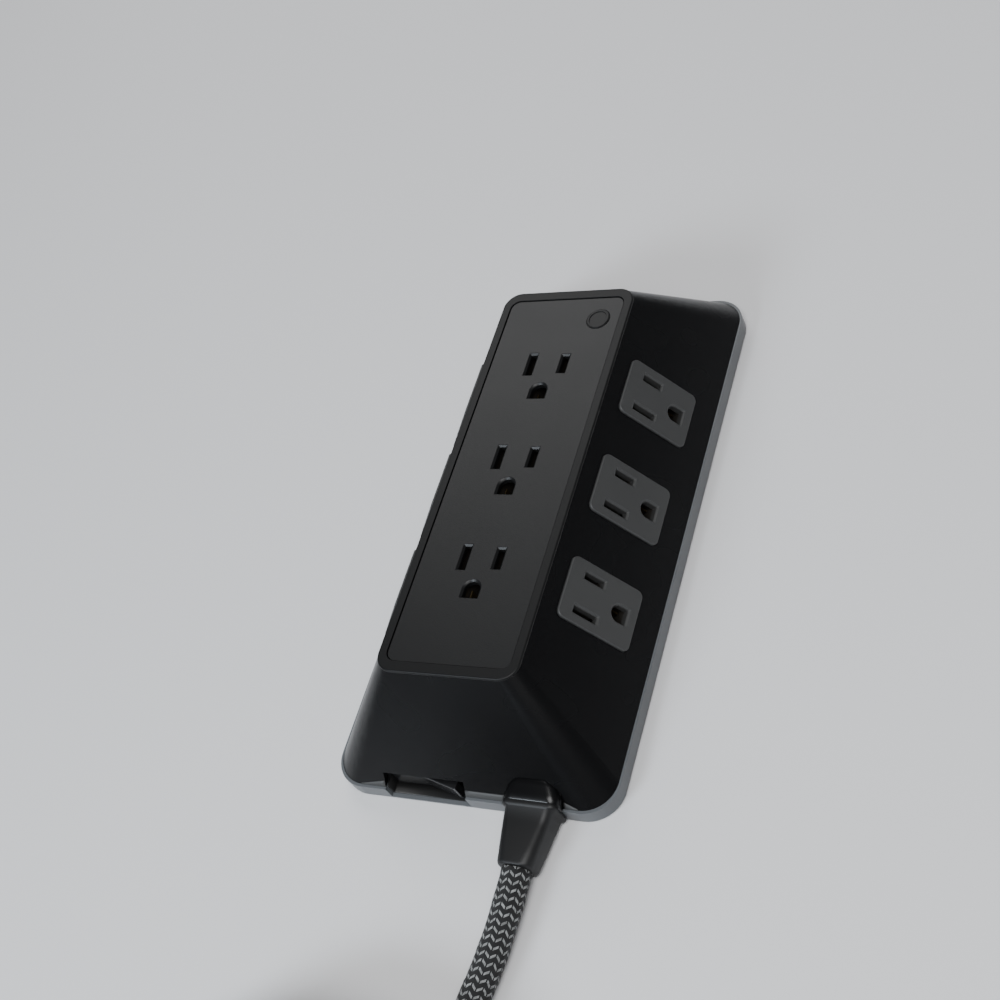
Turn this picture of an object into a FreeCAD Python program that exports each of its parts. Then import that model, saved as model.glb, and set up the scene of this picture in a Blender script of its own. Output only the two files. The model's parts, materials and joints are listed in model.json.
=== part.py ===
import FreeCAD, Part
import math
import os
import Sketcher
from FreeCAD import Placement, Rotation, Vector

# A nine-outlet surge protector strip: a low hipped housing with three outlets in its flat top,
# three in each sloping side, a rocker switch and a braided cord at the near end, and a flat plug.
# X runs across the strip, Y along it towards the end away from the cord, Z up.
# The origin is at the centre of the housing's underside.

DIMENSIONS = [
    ("base_width", 102.4, "base tray, across"),
    ("base_length", 207.2, "base tray, along"),
    ("base_height", 6.5, "base tray, up to the seam"),
    ("base_radius", 11.5, "base tray corner"),
    ("base_floor", 2.2, "base tray floor thickness"),
    ("cover_width", 101.0, "cover at its lower edge, across"),
    ("cover_length", 205.2, "cover at its lower edge, along"),
    ("cover_radius", 11.0, "cover corner at its lower edge"),
    ("cover_top", 42.4, "height of the cover's flat top"),
    ("wall", 2.4, "wall thickness"),
    ("rim_width", 51.2, "raised rim, across"),
    ("rim_length", 157.4, "raised rim, along"),
    ("rim_radius", 6.5, "raised rim corner"),
    ("rim_top", 43.3, "height of the rim, the highest point of the housing"),
    ("panel_width", 44.5, "top outlet panel, across"),
    ("panel_length", 149.4, "top outlet panel, along"),
    ("panel_radius", 3.4, "top outlet panel corner"),
    ("panel_thickness", 2.4, "top outlet panel"),
    ("panel_drop", 0.4, "panel below the rim"),
    ("seam_gap", 0.2, "gap round the panel and the outlet plates"),
    ("outlet_pitch", 40.2, "spacing of the outlets along the strip"),
    ("blade_spacing", 12.7, "spacing of the two blades"),
    ("ground_offset", 11.7, "blade line to the ground hole's centre"),
    ("slot_width", 2.3, "blade slot, across the blade"),
    ("neutral_slot", 8.8, "wide blade slot's length"),
    ("hot_slot", 7.3, "narrow blade slot's length"),
    ("ground_radius", 2.8, "ground hole's round side"),
    ("ground_flat", 3.0, "ground hole's centre to its flat side"),
    ("lead_in", 0.7, "chamfer round each slot"),
    ("plate_width", 22.4, "side outlet plate, along the strip"),
    ("plate_height", 28.2, "side outlet plate, down the slope"),
    ("plate_radius", 2.4, "side outlet plate corner"),
    ("plate_thickness", 3.2, "side outlet plate"),
    ("plate_proud", 0.8, "side outlet plate above the slope"),
    ("plate_down", 20.3, "top of the slope to the plate's centre"),
    ("slot_line_up", 4.3, "side plate's centre up to its blade line"),
    ("panel_slot_line", 5.0, "outlet centre to the blade line in the top panel"),
    ("carrier_depth", 13.4, "contact carrier"),
    ("strip_thickness", 0.8, "brass of the bus bars"),
    ("bus_reach", 57.0, "half length of a bus bar"),
    ("board_width", 46.0, "circuit board, across"),
    ("board_length", 124.0, "circuit board, along"),
    ("board_level", 4.2, "underside of the circuit board"),
    ("switch_centre", 15.0, "switch, left of the middle"),
    ("recess_width", 30.0, "switch recess"),
    ("recess_top", 11.0, "top of the switch recess"),
    ("recess_floor", 1.2, "floor of the switch recess"),
    ("pivot_radius", 1.2, "rocker's pivot stubs"),
    ("pivot_clearance", 0.06, "running clearance of each pivot"),
    ("rest_tilt", -7.0, "rocker's tilt at rest, in degrees"),
    ("cord_diameter", 9.5, "braided cord"),
    ("cord_side", 25.0, "cord outlet, right of the middle"),
    ("cord_level", 6.3, "cord outlet's height"),
    ("relief_end", 124.0, "outer end of the strain relief from the middle"),
    ("coil_centre_side", 22.0, "stored coil's centre, left of the middle"),
    ("coil_centre_out", 244.0, "stored coil's centre, out from the middle"),
    ("coil_outer_turn", 57.0, "radius of the outer turn's centreline"),
    ("coil_lift", 0.9, "coil above the surface, on its tie"),
    ("plug_side", 45.0, "plug's centre, right of the middle"),
    ("plug_out", 294.1, "plug's centre, out from the middle"),
    ("plug_size", 34.0, "plug body"),
    ("plug_radius", 8.0, "plug body's corners"),
    ("plug_depth", 14.0, "plug, from its back to its blade face"),
    ("plug_cap", 3.2, "plug's back cap"),
]

doc = FreeCAD.newDocument("surge_protector")
sheet = doc.addObject("Spreadsheet::Sheet", "Sizes")
for row, (alias, number, note) in enumerate(DIMENSIONS, start=1):
    sheet.set(f"A{row}", note)
    sheet.set(f"B{row}", str(number))
    sheet.setAlias(f"B{row}", alias)
doc.recompute()

sub_parts = []


class Size:
    """A number that keeps the spreadsheet expression it came from."""

    def __init__(self, text, value):
        self.text = text
        self.value = value

    def __add__(self, other):
        other = as_size(other)
        return Size(f"({self.text} + {other.text})", self.value + other.value)

    def __sub__(self, other):
        other = as_size(other)
        return Size(f"({self.text} - {other.text})", self.value - other.value)

    def __mul__(self, other):
        other = as_size(other)
        return Size(f"({self.text} * {other.text})", self.value * other.value)

    def __truediv__(self, other):
        other = as_size(other)
        return Size(f"({self.text} / {other.text})", self.value / other.value)

    def __radd__(self, other):
        return as_size(other) + self

    def __rsub__(self, other):
        return as_size(other) - self

    def __rmul__(self, other):
        return as_size(other) * self

    def __neg__(self):
        return Size(f"(0 - {self.text})", -self.value)


def as_size(value):
    return value if isinstance(value, Size) else Size(f"({value})", float(value))


def cell(alias):
    return Size(f"Sizes.{alias}", float(getattr(sheet, alias)))


def bind(thing, attribute, value):
    thing.setExpression(attribute, as_size(value).text)


def kept(thing, label, placement=None):
    """Name a finished sub-part and list it for checking and export."""
    thing.Label = label
    if placement is not None:
        thing.Placement = placement
    sub_parts.append(thing)
    return thing


# ---- driving dimensions -------------------------------------------------------------------

base_width, base_length = cell("base_width"), cell("base_length")
base_height, base_radius, base_floor = cell("base_height"), cell("base_radius"), cell("base_floor")
cover_width, cover_length = cell("cover_width"), cell("cover_length")
cover_radius, cover_top = cell("cover_radius"), cell("cover_top")
wall = cell("wall")
rim_width, rim_length = cell("rim_width"), cell("rim_length")
rim_radius, rim_top = cell("rim_radius"), cell("rim_top")
panel_width, panel_length = cell("panel_width"), cell("panel_length")
panel_radius, panel_thickness = cell("panel_radius"), cell("panel_thickness")
seam_gap = cell("seam_gap")
outlet_pitch, blade_spacing = cell("outlet_pitch"), cell("blade_spacing")
ground_offset = cell("ground_offset")
slot_width, lead_in = cell("slot_width"), cell("lead_in")
ground_radius, ground_flat = cell("ground_radius"), cell("ground_flat")
plate_width, plate_height = cell("plate_width"), cell("plate_height")
plate_radius, plate_thickness = cell("plate_radius"), cell("plate_thickness")
plate_proud = cell("plate_proud")
slot_line_up, panel_slot_line = cell("slot_line_up"), cell("panel_slot_line")
carrier_depth, strip_thickness = cell("carrier_depth"), cell("strip_thickness")
bus_reach = cell("bus_reach")
board_width, board_length, board_level = cell("board_width"), cell("board_length"), cell("board_level")
switch_centre, recess_width = cell("switch_centre"), cell("recess_width")
recess_top, recess_floor = cell("recess_top"), cell("recess_floor")
pivot_radius, pivot_clearance = cell("pivot_radius"), cell("pivot_clearance")
cord_diameter, cord_side, cord_level = cell("cord_diameter"), cell("cord_side"), cell("cord_level")
relief_end = cell("relief_end")
coil_outer_turn, coil_lift = cell("coil_outer_turn"), cell("coil_lift")
plug_size, plug_radius = cell("plug_size"), cell("plug_radius")
plug_depth, plug_cap = cell("plug_depth"), cell("plug_cap")

panel_top = rim_top - cell("panel_drop")
slope_height = cover_top - base_height
slope_run = (cover_width - rim_width) / 2
slope_angle = math.atan2(slope_run.value, slope_height.value)

BOARD_THICKNESS = 1.6
SCREW_PLACES = [(-36, -88), (36, -88), (-36, 88), (36, 88)]
BOARD_SCREW_PLACES = [(-19, -52), (19, -52), (-19, 48), (19, 48)]
KEYHOLE_HEAD = 4.3
KEYHOLE_NECK = 2.3
KEYHOLE_SLIDE = 8.0
KEYHOLE_PLACES = [-70, 82]
BADGE_X = 14.3
BADGE_Y = 64.9
BADGE_RADIUS = 4.3
BADGE_DEPTH = 0.6
PEG = 8.0                       # how far a cutting shape runs past the wall that it cuts
STEP = 0.1                      # seating clearance between pieces of one body


# ---- shapes used again and again ------------------------------------------------------------

def block(name, low, size):
    """A box by its lowest corner and its three sizes."""
    thing = doc.addObject("Part::Box", name)
    for attribute, value in zip(("Length", "Width", "Height"), size):
        bind(thing, attribute, value)
    for axis, value in zip("xyz", low):
        bind(thing, f"Placement.Base.{axis}", value)
    return thing


def rod(name, centre, radius, height, tilt=None):
    """A cylinder by the centre of its lower end; tilt turns it off the Z axis."""
    thing = doc.addObject("Part::Cylinder", name)
    bind(thing, "Radius", radius)
    bind(thing, "Height", height)
    if tilt is not None:
        thing.Placement = Placement(Vector(0, 0, 0), tilt)
    for axis, value in zip("xyz", centre):
        bind(thing, f"Placement.Base.{axis}", value)
    return thing


def joined(name, pieces):
    thing = doc.addObject("Part::MultiFuse", name)
    thing.Shapes = pieces
    return thing


def cut(name, base, tool):
    thing = doc.addObject("Part::Cut", name)
    thing.Base = base
    thing.Tool = tool
    return thing


def common(name, base, tool):
    thing = doc.addObject("Part::Common", name)
    thing.Base = base
    thing.Tool = tool
    return thing


def grouped(name, pieces):
    """Several separate solids kept together as one sub-part."""
    thing = doc.addObject("Part::Compound", name)
    thing.Links = pieces
    return thing


def constrain(sketch, kind, *where, size=None, name=None):
    """Add a constraint, and bind it to the spreadsheet when it has a size."""
    values = [size.value] if size is not None else []
    index = sketch.addConstraint(Sketcher.Constraint(kind, *where, *values))
    if size is not None:
        sketch.renameConstraint(index, name)
        sketch.setExpression(f"Constraints.{name}", size.text)


def rounded_outline(sketch, width, length, radius, name):
    """A rectangle centred on the sketch's origin, with four equal round corners."""
    first = sketch.GeometryCount
    half_x, half_y, r = width.value / 2, length.value / 2, radius.value
    centres = [(half_x - r, r - half_y), (half_x - r, half_y - r), (r - half_x, half_y - r), (r - half_x, r - half_y)]
    for corner, (x, y) in enumerate(centres):
        before = centres[corner - 1]
        turn = math.radians(90 * (corner - 1))
        out = Vector(math.cos(turn), math.sin(turn), 0) * r
        sketch.addGeometry(Part.LineSegment(Vector(before[0], before[1], 0) + out, Vector(x, y, 0) + out))
        circle = Part.Circle(Vector(x, y, 0), Vector(0, 0, 1), r)
        sketch.addGeometry(Part.ArcOfCircle(circle, turn, turn + math.pi / 2))
    for index in range(8):
        following = (index + 1) % 8
        constrain(sketch, "Tangent", first + index, 2, first + following, 1)
    for index, kind in ((0, "Horizontal"), (2, "Vertical"), (4, "Horizontal"), (6, "Vertical")):
        constrain(sketch, kind, first + index)
    for corner in (3, 5, 7):
        constrain(sketch, "Equal", first + 1, first + corner)
    constrain(sketch, "Symmetric", first + 1, 3, first + 5, 3, -1, 1)
    constrain(sketch, "Radius", first + 1, size=radius, name=f"{name}_radius")
    constrain(sketch, "DistanceX", first + 6, 1, first + 2, 1, size=width, name=f"{name}_width")
    constrain(sketch, "DistanceY", first, 1, first + 4, 1, size=length, name=f"{name}_length")


def rectangle_outline(sketch, low_x, low_y, width, length, name):
    """A rectangle by its lowest corner."""
    first = sketch.GeometryCount
    x, y, across, along = low_x.value, low_y.value, width.value, length.value
    corners = [Vector(x, y, 0), Vector(x + across, y, 0), Vector(x + across, y + along, 0), Vector(x, y + along, 0)]
    for index in range(4):
        sketch.addGeometry(Part.LineSegment(corners[index], corners[(index + 1) % 4]))
    for index in range(4):
        constrain(sketch, "Coincident", first + index, 2, first + (index + 1) % 4, 1)
    for index, kind in enumerate(("Horizontal", "Vertical", "Horizontal", "Vertical")):
        constrain(sketch, kind, first + index)
    constrain(sketch, "DistanceX", first, 1, first, 2, size=width, name=f"{name}_width")
    constrain(sketch, "DistanceY", first + 1, 1, first + 1, 2, size=length, name=f"{name}_length")
    constrain(sketch, "DistanceX", -1, 1, first, 1, size=low_x, name=f"{name}_x")
    constrain(sketch, "DistanceY", -1, 1, first, 1, size=low_y, name=f"{name}_y")


def ground_outline(sketch, centre_y, radius, flat, name):
    """A hole with a round side towards the blade slots and a flat side away from them."""
    first = sketch.GeometryCount
    y, r, low = centre_y.value, radius.value, centre_y.value - flat.value
    sketch.addGeometry(Part.LineSegment(Vector(-r, low, 0), Vector(r, low, 0)))
    sketch.addGeometry(Part.LineSegment(Vector(r, low, 0), Vector(r, y, 0)))
    circle = Part.Circle(Vector(0, y, 0), Vector(0, 0, 1), r)
    sketch.addGeometry(Part.ArcOfCircle(circle, 0, math.pi))
    sketch.addGeometry(Part.LineSegment(Vector(-r, y, 0), Vector(-r, low, 0)))
    constrain(sketch, "Coincident", first, 2, first + 1, 1)
    constrain(sketch, "Tangent", first + 1, 2, first + 2, 1)
    constrain(sketch, "Tangent", first + 2, 2, first + 3, 1)
    constrain(sketch, "Coincident", first + 3, 2, first, 1)
    constrain(sketch, "Horizontal", first)
    constrain(sketch, "Vertical", first + 1)
    constrain(sketch, "Vertical", first + 3)
    constrain(sketch, "PointOnObject", first + 2, 3, -2)
    constrain(sketch, "Radius", first + 2, size=radius, name=f"{name}_radius")
    constrain(sketch, "DistanceY", -1, 1, first + 2, 3, size=centre_y, name=f"{name}_y")
    constrain(sketch, "DistanceY", first + 1, 1, first + 1, 2, size=flat, name=f"{name}_flat")


def loose_sketch(name, level=0):
    """A sketch of its own, parallel to the XY plane."""
    sketch = doc.addObject("Sketcher::SketchObject", name)
    bind(sketch, "Placement.Base.z", level)
    return sketch


def body_sketch(body, name):
    """A sketch on the XY plane of a body's own origin."""
    sketch = body.newObject("Sketcher::SketchObject", name)
    plane = [feature for feature in body.Origin.OriginFeatures if feature.Role == "XY_Plane"][0]
    sketch.AttachmentSupport = [(plane, "")]
    sketch.MapMode = "FlatFace"
    return sketch


def lofted(name, lower, upper):
    thing = doc.addObject("Part::Loft", name)
    thing.Sections = [lower, upper]
    thing.Solid = True
    thing.Ruled = True
    return thing


def rounded_block(name, width, length, radius, low, height):
    """An upright block with a rounded rectangular outline."""
    sketch = loose_sketch(f"{name}_outline")
    rounded_outline(sketch, width, length, radius, "outline")
    thing = doc.addObject("Part::Extrusion", name)
    thing.Base = sketch
    thing.Dir = Vector(0, 0, 1)
    thing.Solid = True
    bind(thing, "LengthFwd", height)
    bind(thing, "Placement.Base.z", low)
    return thing


def edges_where(shape, test):
    """The names of the edges whose middle passes a test."""
    names = []
    for index, edge in enumerate(shape.Edges, start=1):
        middle = edge.valueAt((edge.FirstParameter + edge.LastParameter) / 2)
        if test(middle, edge):
            names.append(f"Edge{index}")
    return names


def dressed(body, kind, base, names, size):
    """A chamfer or fillet as the body's next feature."""
    doc.recompute()
    feature = body.newObject(f"PartDesign::{kind}", f"{body.Name}_{kind}")
    feature.Base = (base, names)
    bind(feature, "Size" if kind == "Chamfer" else "Radius", size)
    return feature


# ---- the frame that each row of outlets is built in -----------------------------------------
# In a row's own frame x crosses the two blades, y points from the ground hole to the blades,
# and z is the outward normal of the outlet's face.

slope_down = Vector(math.sin(slope_angle), 0, -math.cos(slope_angle))
slope_out = Vector(math.cos(slope_angle), 0, math.sin(slope_angle))
plate_centre = Vector(rim_width.value / 2, 0, cover_top.value) + slope_down * cell("plate_down").value


def side_row(side, along=0.0):
    """Where the right (+1) or left (-1) row's frame stands, at a distance along the strip."""
    up_slope = Vector(-slope_down.x * side, 0, -slope_down.z)
    outward = Vector(slope_out.x * side, 0, slope_out.z)
    turn = Rotation(Vector(0, side, 0), up_slope, outward, "XYZ")
    return Placement(Vector(plate_centre.x * side, along, plate_centre.z), turn)


ROW_STEPS = (1, 0, -1)
SIDES = (("right", 1), ("left", -1))


def outlet_slots(body, slot_line):
    """Cut one outlet's three openings through a body, from its XY plane upwards."""
    sketch = body_sketch(body, f"{body.Name}_slots")
    half = blade_spacing / 2
    for name, centre, length in (("neutral", -half, cell("neutral_slot")), ("hot", half, cell("hot_slot"))):
        rectangle_outline(sketch, centre - slot_width / 2, slot_line - length / 2, slot_width, length, name)
    ground_outline(sketch, slot_line - ground_offset, ground_radius, ground_flat, "ground")
    pocket = body.newObject("PartDesign::Pocket", f"{body.Name}_openings")
    pocket.Profile = sketch
    pocket.Type = 1
    pocket.Reversed = True
    sketch.Visibility = False
    return pocket


def lead_in_edges(shape, top, width, length):
    """The upper edges of the openings, leaving out the outline of the plate itself."""
    inside_x, inside_y = width.value / 2 - 1, length.value / 2 - 1

    def is_opening(middle, edge):
        return abs(middle.z - top.value) < 1e-4 and abs(middle.x) < inside_x and abs(middle.y) < inside_y

    return edges_where(shape, is_opening)


def outer_edges(shape, top, width, length):
    """The upper edges of the plate's own outline."""
    inside_x, inside_y = width.value / 2 - 1, length.value / 2 - 1

    def is_outline(middle, edge):
        return abs(middle.z - top.value) < 1e-4 and (abs(middle.x) > inside_x or abs(middle.y) > inside_y)

    return edges_where(shape, is_outline)


# ---- housing --------------------------------------------------------------------------------

def hipped_solid(name, inset, low, high):
    """The cover's sloping outer form, or one drawn in by an inset, between two heights."""
    sections = []
    for tag, level in (("low", as_size(low)), ("high", as_size(high))):
        rise = (level - base_height) / slope_height
        width = cover_width - (cover_width - rim_width) * rise - inset * 2
        length = cover_length - (cover_length - rim_length) * rise - inset * 2
        radius = cover_radius - (cover_radius - rim_radius) * rise - inset
        sketch = loose_sketch(f"{name}_{tag}", level)
        rounded_outline(sketch, width, length, radius, "outline")
        sections.append(sketch)
    return lofted(name, sections[0], sections[1])


def switch_recess(name):
    """The opening in the near end that the switch sits in, through cover and base."""
    depth = 22
    low = [-switch_centre - recess_width / 2, -base_length / 2 - 1, recess_floor]
    return block(name, low, [recess_width, depth + 1, recess_top - recess_floor])


def relief_notch(name):
    """The opening in the near end that the strain relief passes through."""
    width, low, high = 17.4, 0.8, 12.2
    return block(name, [cord_side - width / 2, -base_length / 2 - 1, low], [width, 11.2, high - low])


def make_cover():
    outer = hipped_solid("cover_outer", as_size(0), base_height, cover_top)
    slanted_wall = wall / math.cos(slope_angle)
    roof = cover_top - wall
    inner = hipped_solid("cover_inner", slanted_wall, base_height - 1, roof)
    shell = cut("cover_shell", outer, inner)
    posts = []
    for index, (x, y) in enumerate(SCREW_PLACES):
        posts.append(rod(f"cover_post_{index}", [x, y, 5.2], 3.6, 22))
    trim = hipped_solid("cover_trim", as_size(0.5), 5.2, roof)
    below = common("cover_posts", joined("cover_post_set", posts), trim)
    solid = joined("cover_with_posts", [shell, below])
    tools = [switch_recess("cover_recess"), relief_notch("cover_notch")]
    opening = rounded_block("cover_top_opening", panel_width + 2.4, panel_length + 2.4, panel_radius + 1.2,
                            cover_top - 2 * wall, 3 * wall)
    tools.append(opening)
    for side_name, side in SIDES:
        for step in ROW_STEPS:
            name = f"cover_window_{side_name}_{step + 1}"
            window = rounded_block(name, plate_width + seam_gap * 2, plate_height + seam_gap * 2,
                                   plate_radius + seam_gap, -PEG, 2 * PEG)
            window.setExpression("Placement.Base.z", None)
            place = side_row(side, step * outlet_pitch.value)
            window.Placement = place * Placement(Vector(0, 0, -PEG), Rotation())
            tools.append(window)
    for index, (x, y) in enumerate(SCREW_PLACES):
        tools.append(rod(f"cover_pilot_{index}", [x, y, 4], 1.3, 13))
    kept(cut("cover_housing_solid", solid, joined("cover_tools", tools)), "cover_housing")


def keyhole(name, y):
    """A hanging hole: a wide round end that a screw head passes, and a narrow neck to slide along."""
    head = rod(f"{name}_head", [0, y, -1], KEYHOLE_HEAD, base_floor + 2)
    neck = block(f"{name}_neck", [-KEYHOLE_NECK, y - KEYHOLE_SLIDE, -1],
                 [2 * KEYHOLE_NECK, KEYHOLE_SLIDE, base_floor + 2])
    end = rod(f"{name}_end", [0, y - KEYHOLE_SLIDE, -1], KEYHOLE_NECK, base_floor + 2)
    return [head, neck, end]


def make_base():
    body = doc.addObject("PartDesign::Body", "base_tray")
    sketch = body_sketch(body, "base_outline")
    rounded_outline(sketch, base_width, base_length, base_radius, "outline")
    pad = body.newObject("PartDesign::Pad", "base_pad")
    pad.Profile = sketch
    bind(pad, "Length", base_height)
    doc.recompute()
    low_edges = edges_where(pad.Shape, lambda middle, edge: abs(middle.z) < 1e-4)
    dressed(body, "Chamfer", pad, low_edges, as_size(0.6))
    hollow = rounded_block("base_hollow", base_width - wall * 2, base_length - wall * 2, base_radius - wall,
                           base_floor, base_height)
    adds = [cut("base_shell", body, hollow)]
    tools = [switch_recess("base_recess"), relief_notch("base_notch")]
    for index, (x, y) in enumerate(SCREW_PLACES):
        adds.append(rod(f"base_boss_{index}", [x, y, base_floor - 1], 3.6, 3.8))
        tools.append(rod(f"base_screw_way_{index}", [x, y, -1], 1.7, 9))
        sink = doc.addObject("Part::Cone", f"base_sink_{index}")
        bind(sink, "Radius1", 3.5)
        bind(sink, "Radius2", 1.5)
        bind(sink, "Height", 2.0)
        bind(sink, "Placement.Base.x", x)
        bind(sink, "Placement.Base.y", y)
        tools.append(sink)
    for index, (x, y) in enumerate(BOARD_SCREW_PLACES):
        adds.append(rod(f"base_standoff_{index}", [x, y, base_floor - 1], 2.6, board_level - base_floor + 1))
        tools.append(rod(f"base_standoff_hole_{index}", [x, y, 1.4], 0.9, 6))
    for index, y in enumerate(KEYHOLE_PLACES):
        tools += keyhole(f"keyhole_{index}", y)
    solid = joined("base_solid", adds)
    kept(cut("base_housing_solid", solid, joined("base_tools", tools)), "base_housing")


def make_bezel():
    flange = rounded_block("bezel_flange", rim_width, rim_length, rim_radius, cover_top, rim_top - cover_top)
    skirt_height = 2.2
    skirt = rounded_block("bezel_skirt", panel_width + 2.2, panel_length + 2.2, panel_radius + 1.1,
                          cover_top - skirt_height, skirt_height)
    opening = rounded_block("bezel_opening", panel_width + seam_gap * 2, panel_length + seam_gap * 2,
                            panel_radius + seam_gap, cover_top - 2 * wall, 4 * wall)
    ring = cut("bezel_ring", joined("bezel_solid", [flange, skirt]), opening)
    doc.recompute()
    top = rim_top.value
    names = edges_where(ring.Shape, lambda middle, edge: abs(middle.z - top) < 1e-4)
    outline = []
    for name in names:
        edge = ring.Shape.getElement(name)
        middle = edge.valueAt((edge.FirstParameter + edge.LastParameter) / 2)
        is_outer = abs(middle.x) > panel_width.value / 2 + 1 or abs(middle.y) > panel_length.value / 2 + 1
        outline.append((int(name[4:]), 0.6 if is_outer else 0.15, 0.6 if is_outer else 0.15))
    rounded = doc.addObject("Part::Fillet", "bezel_rounded")
    rounded.Base = ring
    rounded.Edges = outline
    kept(rounded, "top_bezel")


def make_panel():
    body = doc.addObject("PartDesign::Body", "panel_body")
    sketch = body_sketch(body, "panel_outline")
    rounded_outline(sketch, panel_width, panel_length, panel_radius, "outline")
    pad = body.newObject("PartDesign::Pad", "panel_pad")
    pad.Profile = sketch
    bind(pad, "Length", panel_thickness)
    pocket = outlet_slots(body, panel_slot_line)
    doc.recompute()
    for mark, sign in (("far", 1), ("near", -1)):
        again = body.newObject("PartDesign::LinearPattern", f"panel_outlets_{mark}")
        again.Originals = [pocket]
        axis = [feature for feature in body.Origin.OriginFeatures if feature.Role == "Y_Axis"][0]
        again.Direction = (axis, [""])
        again.Reversed = sign < 0
        bind(again, "Length", outlet_pitch)
        again.Occurrences = 2
        body.Tip = again
        doc.recompute()
    badge_seat = body_sketch(body, "badge_outline")
    badge_seat.addGeometry(Part.Circle(Vector(BADGE_X, BADGE_Y, 0), Vector(0, 0, 1), BADGE_RADIUS + STEP))
    constrain(badge_seat, "Radius", 0, size=as_size(BADGE_RADIUS + STEP), name="badge_radius")
    constrain(badge_seat, "DistanceX", -1, 1, 0, 3, size=as_size(BADGE_X), name="badge_x")
    constrain(badge_seat, "DistanceY", -1, 1, 0, 3, size=as_size(BADGE_Y), name="badge_y")
    bind(badge_seat, "AttachmentOffset.Base.z", panel_thickness)
    seat = body.newObject("PartDesign::Pocket", "badge_seat")
    seat.Profile = badge_seat
    bind(seat, "Length", BADGE_DEPTH)
    doc.recompute()
    names = lead_in_edges(seat.Shape, panel_thickness, panel_width, panel_length)
    keep_sharp = edges_where(seat.Shape, lambda middle, edge: (middle - Vector(BADGE_X, BADGE_Y, middle.z)).Length < 6)
    chamfer = dressed(body, "Chamfer", seat, [name for name in names if name not in keep_sharp], lead_in)
    body.Tip = chamfer
    kept(body, "top_panel", Placement(Vector(0, 0, (panel_top - panel_thickness).value), Rotation()))


def make_badge():
    level = panel_top - BADGE_DEPTH
    disc = rod("badge_disc", [BADGE_X, BADGE_Y, level], BADGE_RADIUS, BADGE_DEPTH + 0.1)
    ring = rod("badge_ring_outer", [BADGE_X, BADGE_Y, level], BADGE_RADIUS - 0.3, BADGE_DEPTH + 0.35)
    hollow = rod("badge_ring_inner", [BADGE_X, BADGE_Y, level + BADGE_DEPTH + 0.1], BADGE_RADIUS - 1.0, 1)
    kept(cut("badge_solid", joined("badge_stack", [disc, ring]), hollow), "panel_badge")


def make_plates():
    for side_name, side in SIDES:
        for count, step in enumerate(ROW_STEPS, start=1):
            name = f"{side_name}_outlet_plate_{count}"
            body = doc.addObject("PartDesign::Body", f"{name}_body")
            sketch = body_sketch(body, f"{name}_outline")
            rounded_outline(sketch, plate_width, plate_height, plate_radius, "outline")
            pad = body.newObject("PartDesign::Pad", f"{name}_pad")
            pad.Profile = sketch
            bind(pad, "Length", plate_thickness)
            pocket = outlet_slots(body, slot_line_up)
            doc.recompute()
            names = lead_in_edges(pocket.Shape, plate_thickness, plate_width, plate_height)
            chamfer = dressed(body, "Chamfer", pocket, names, lead_in)
            doc.recompute()
            names = outer_edges(chamfer.Shape, plate_thickness, plate_width, plate_height)
            body.Tip = dressed(body, "Fillet", chamfer, names, as_size(0.5))
            raised = Placement(Vector(0, 0, (plate_proud - plate_thickness).value), Rotation())
            kept(body, name, side_row(side, step * outlet_pitch.value) * raised)


# ---- contacts -------------------------------------------------------------------------------

FINGER_THICKNESS = 0.5
BLADE_GAP = 1.6
PIN_GAP = 5.0
FINGER_HEIGHT = 9.5
BLADE_FINGER = 6.6
PIN_FINGER = 4.6
STRIP_FLOOR = 15.0              # a side row's bus bars below the slope's surface
CARRIER_TOP = 2.6


def fingers(name, x, y, gap, reach, floor):
    """Two upright contact fingers with a gap for a blade or pin between them."""
    pieces = []
    for mark, sign in (("a", 1), ("b", -1)):
        centre_x = x + sign * (gap + FINGER_THICKNESS) / 2
        pieces.append(block(f"{name}_{mark}", [centre_x - FINGER_THICKNESS / 2, y - reach / 2, floor],
                            [FINGER_THICKNESS, reach, FINGER_HEIGHT + strip_thickness]))
    return pieces


def placed_bus(label, pieces, placement=None):
    kept(joined(f"{label}_solid", pieces), label, placement)


def make_top_buses():
    floor = panel_top - panel_thickness - CARRIER_TOP - carrier_depth + 2.6
    reach = cell("bus_reach")
    for label, x, width, gap, finger, drop in (
            ("top_hot_bus", blade_spacing / 2, 4.0, BLADE_GAP, BLADE_FINGER, as_size(0)),
            ("top_neutral_bus", -blade_spacing / 2, 4.0, BLADE_GAP, BLADE_FINGER, as_size(0)),
            ("top_ground_bus", as_size(0), 6.6, PIN_GAP, PIN_FINGER, ground_offset)):
        pieces = [block(f"{label}_strip", [x - width / 2, -52, floor], [width, reach + 52, strip_thickness])]
        for count, step in enumerate(ROW_STEPS, start=1):
            y = outlet_pitch * step + panel_slot_line - drop
            pieces += fingers(f"{label}_finger_{count}", x, y, gap, finger, floor)
        placed_bus(label, pieces)
    return floor


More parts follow.
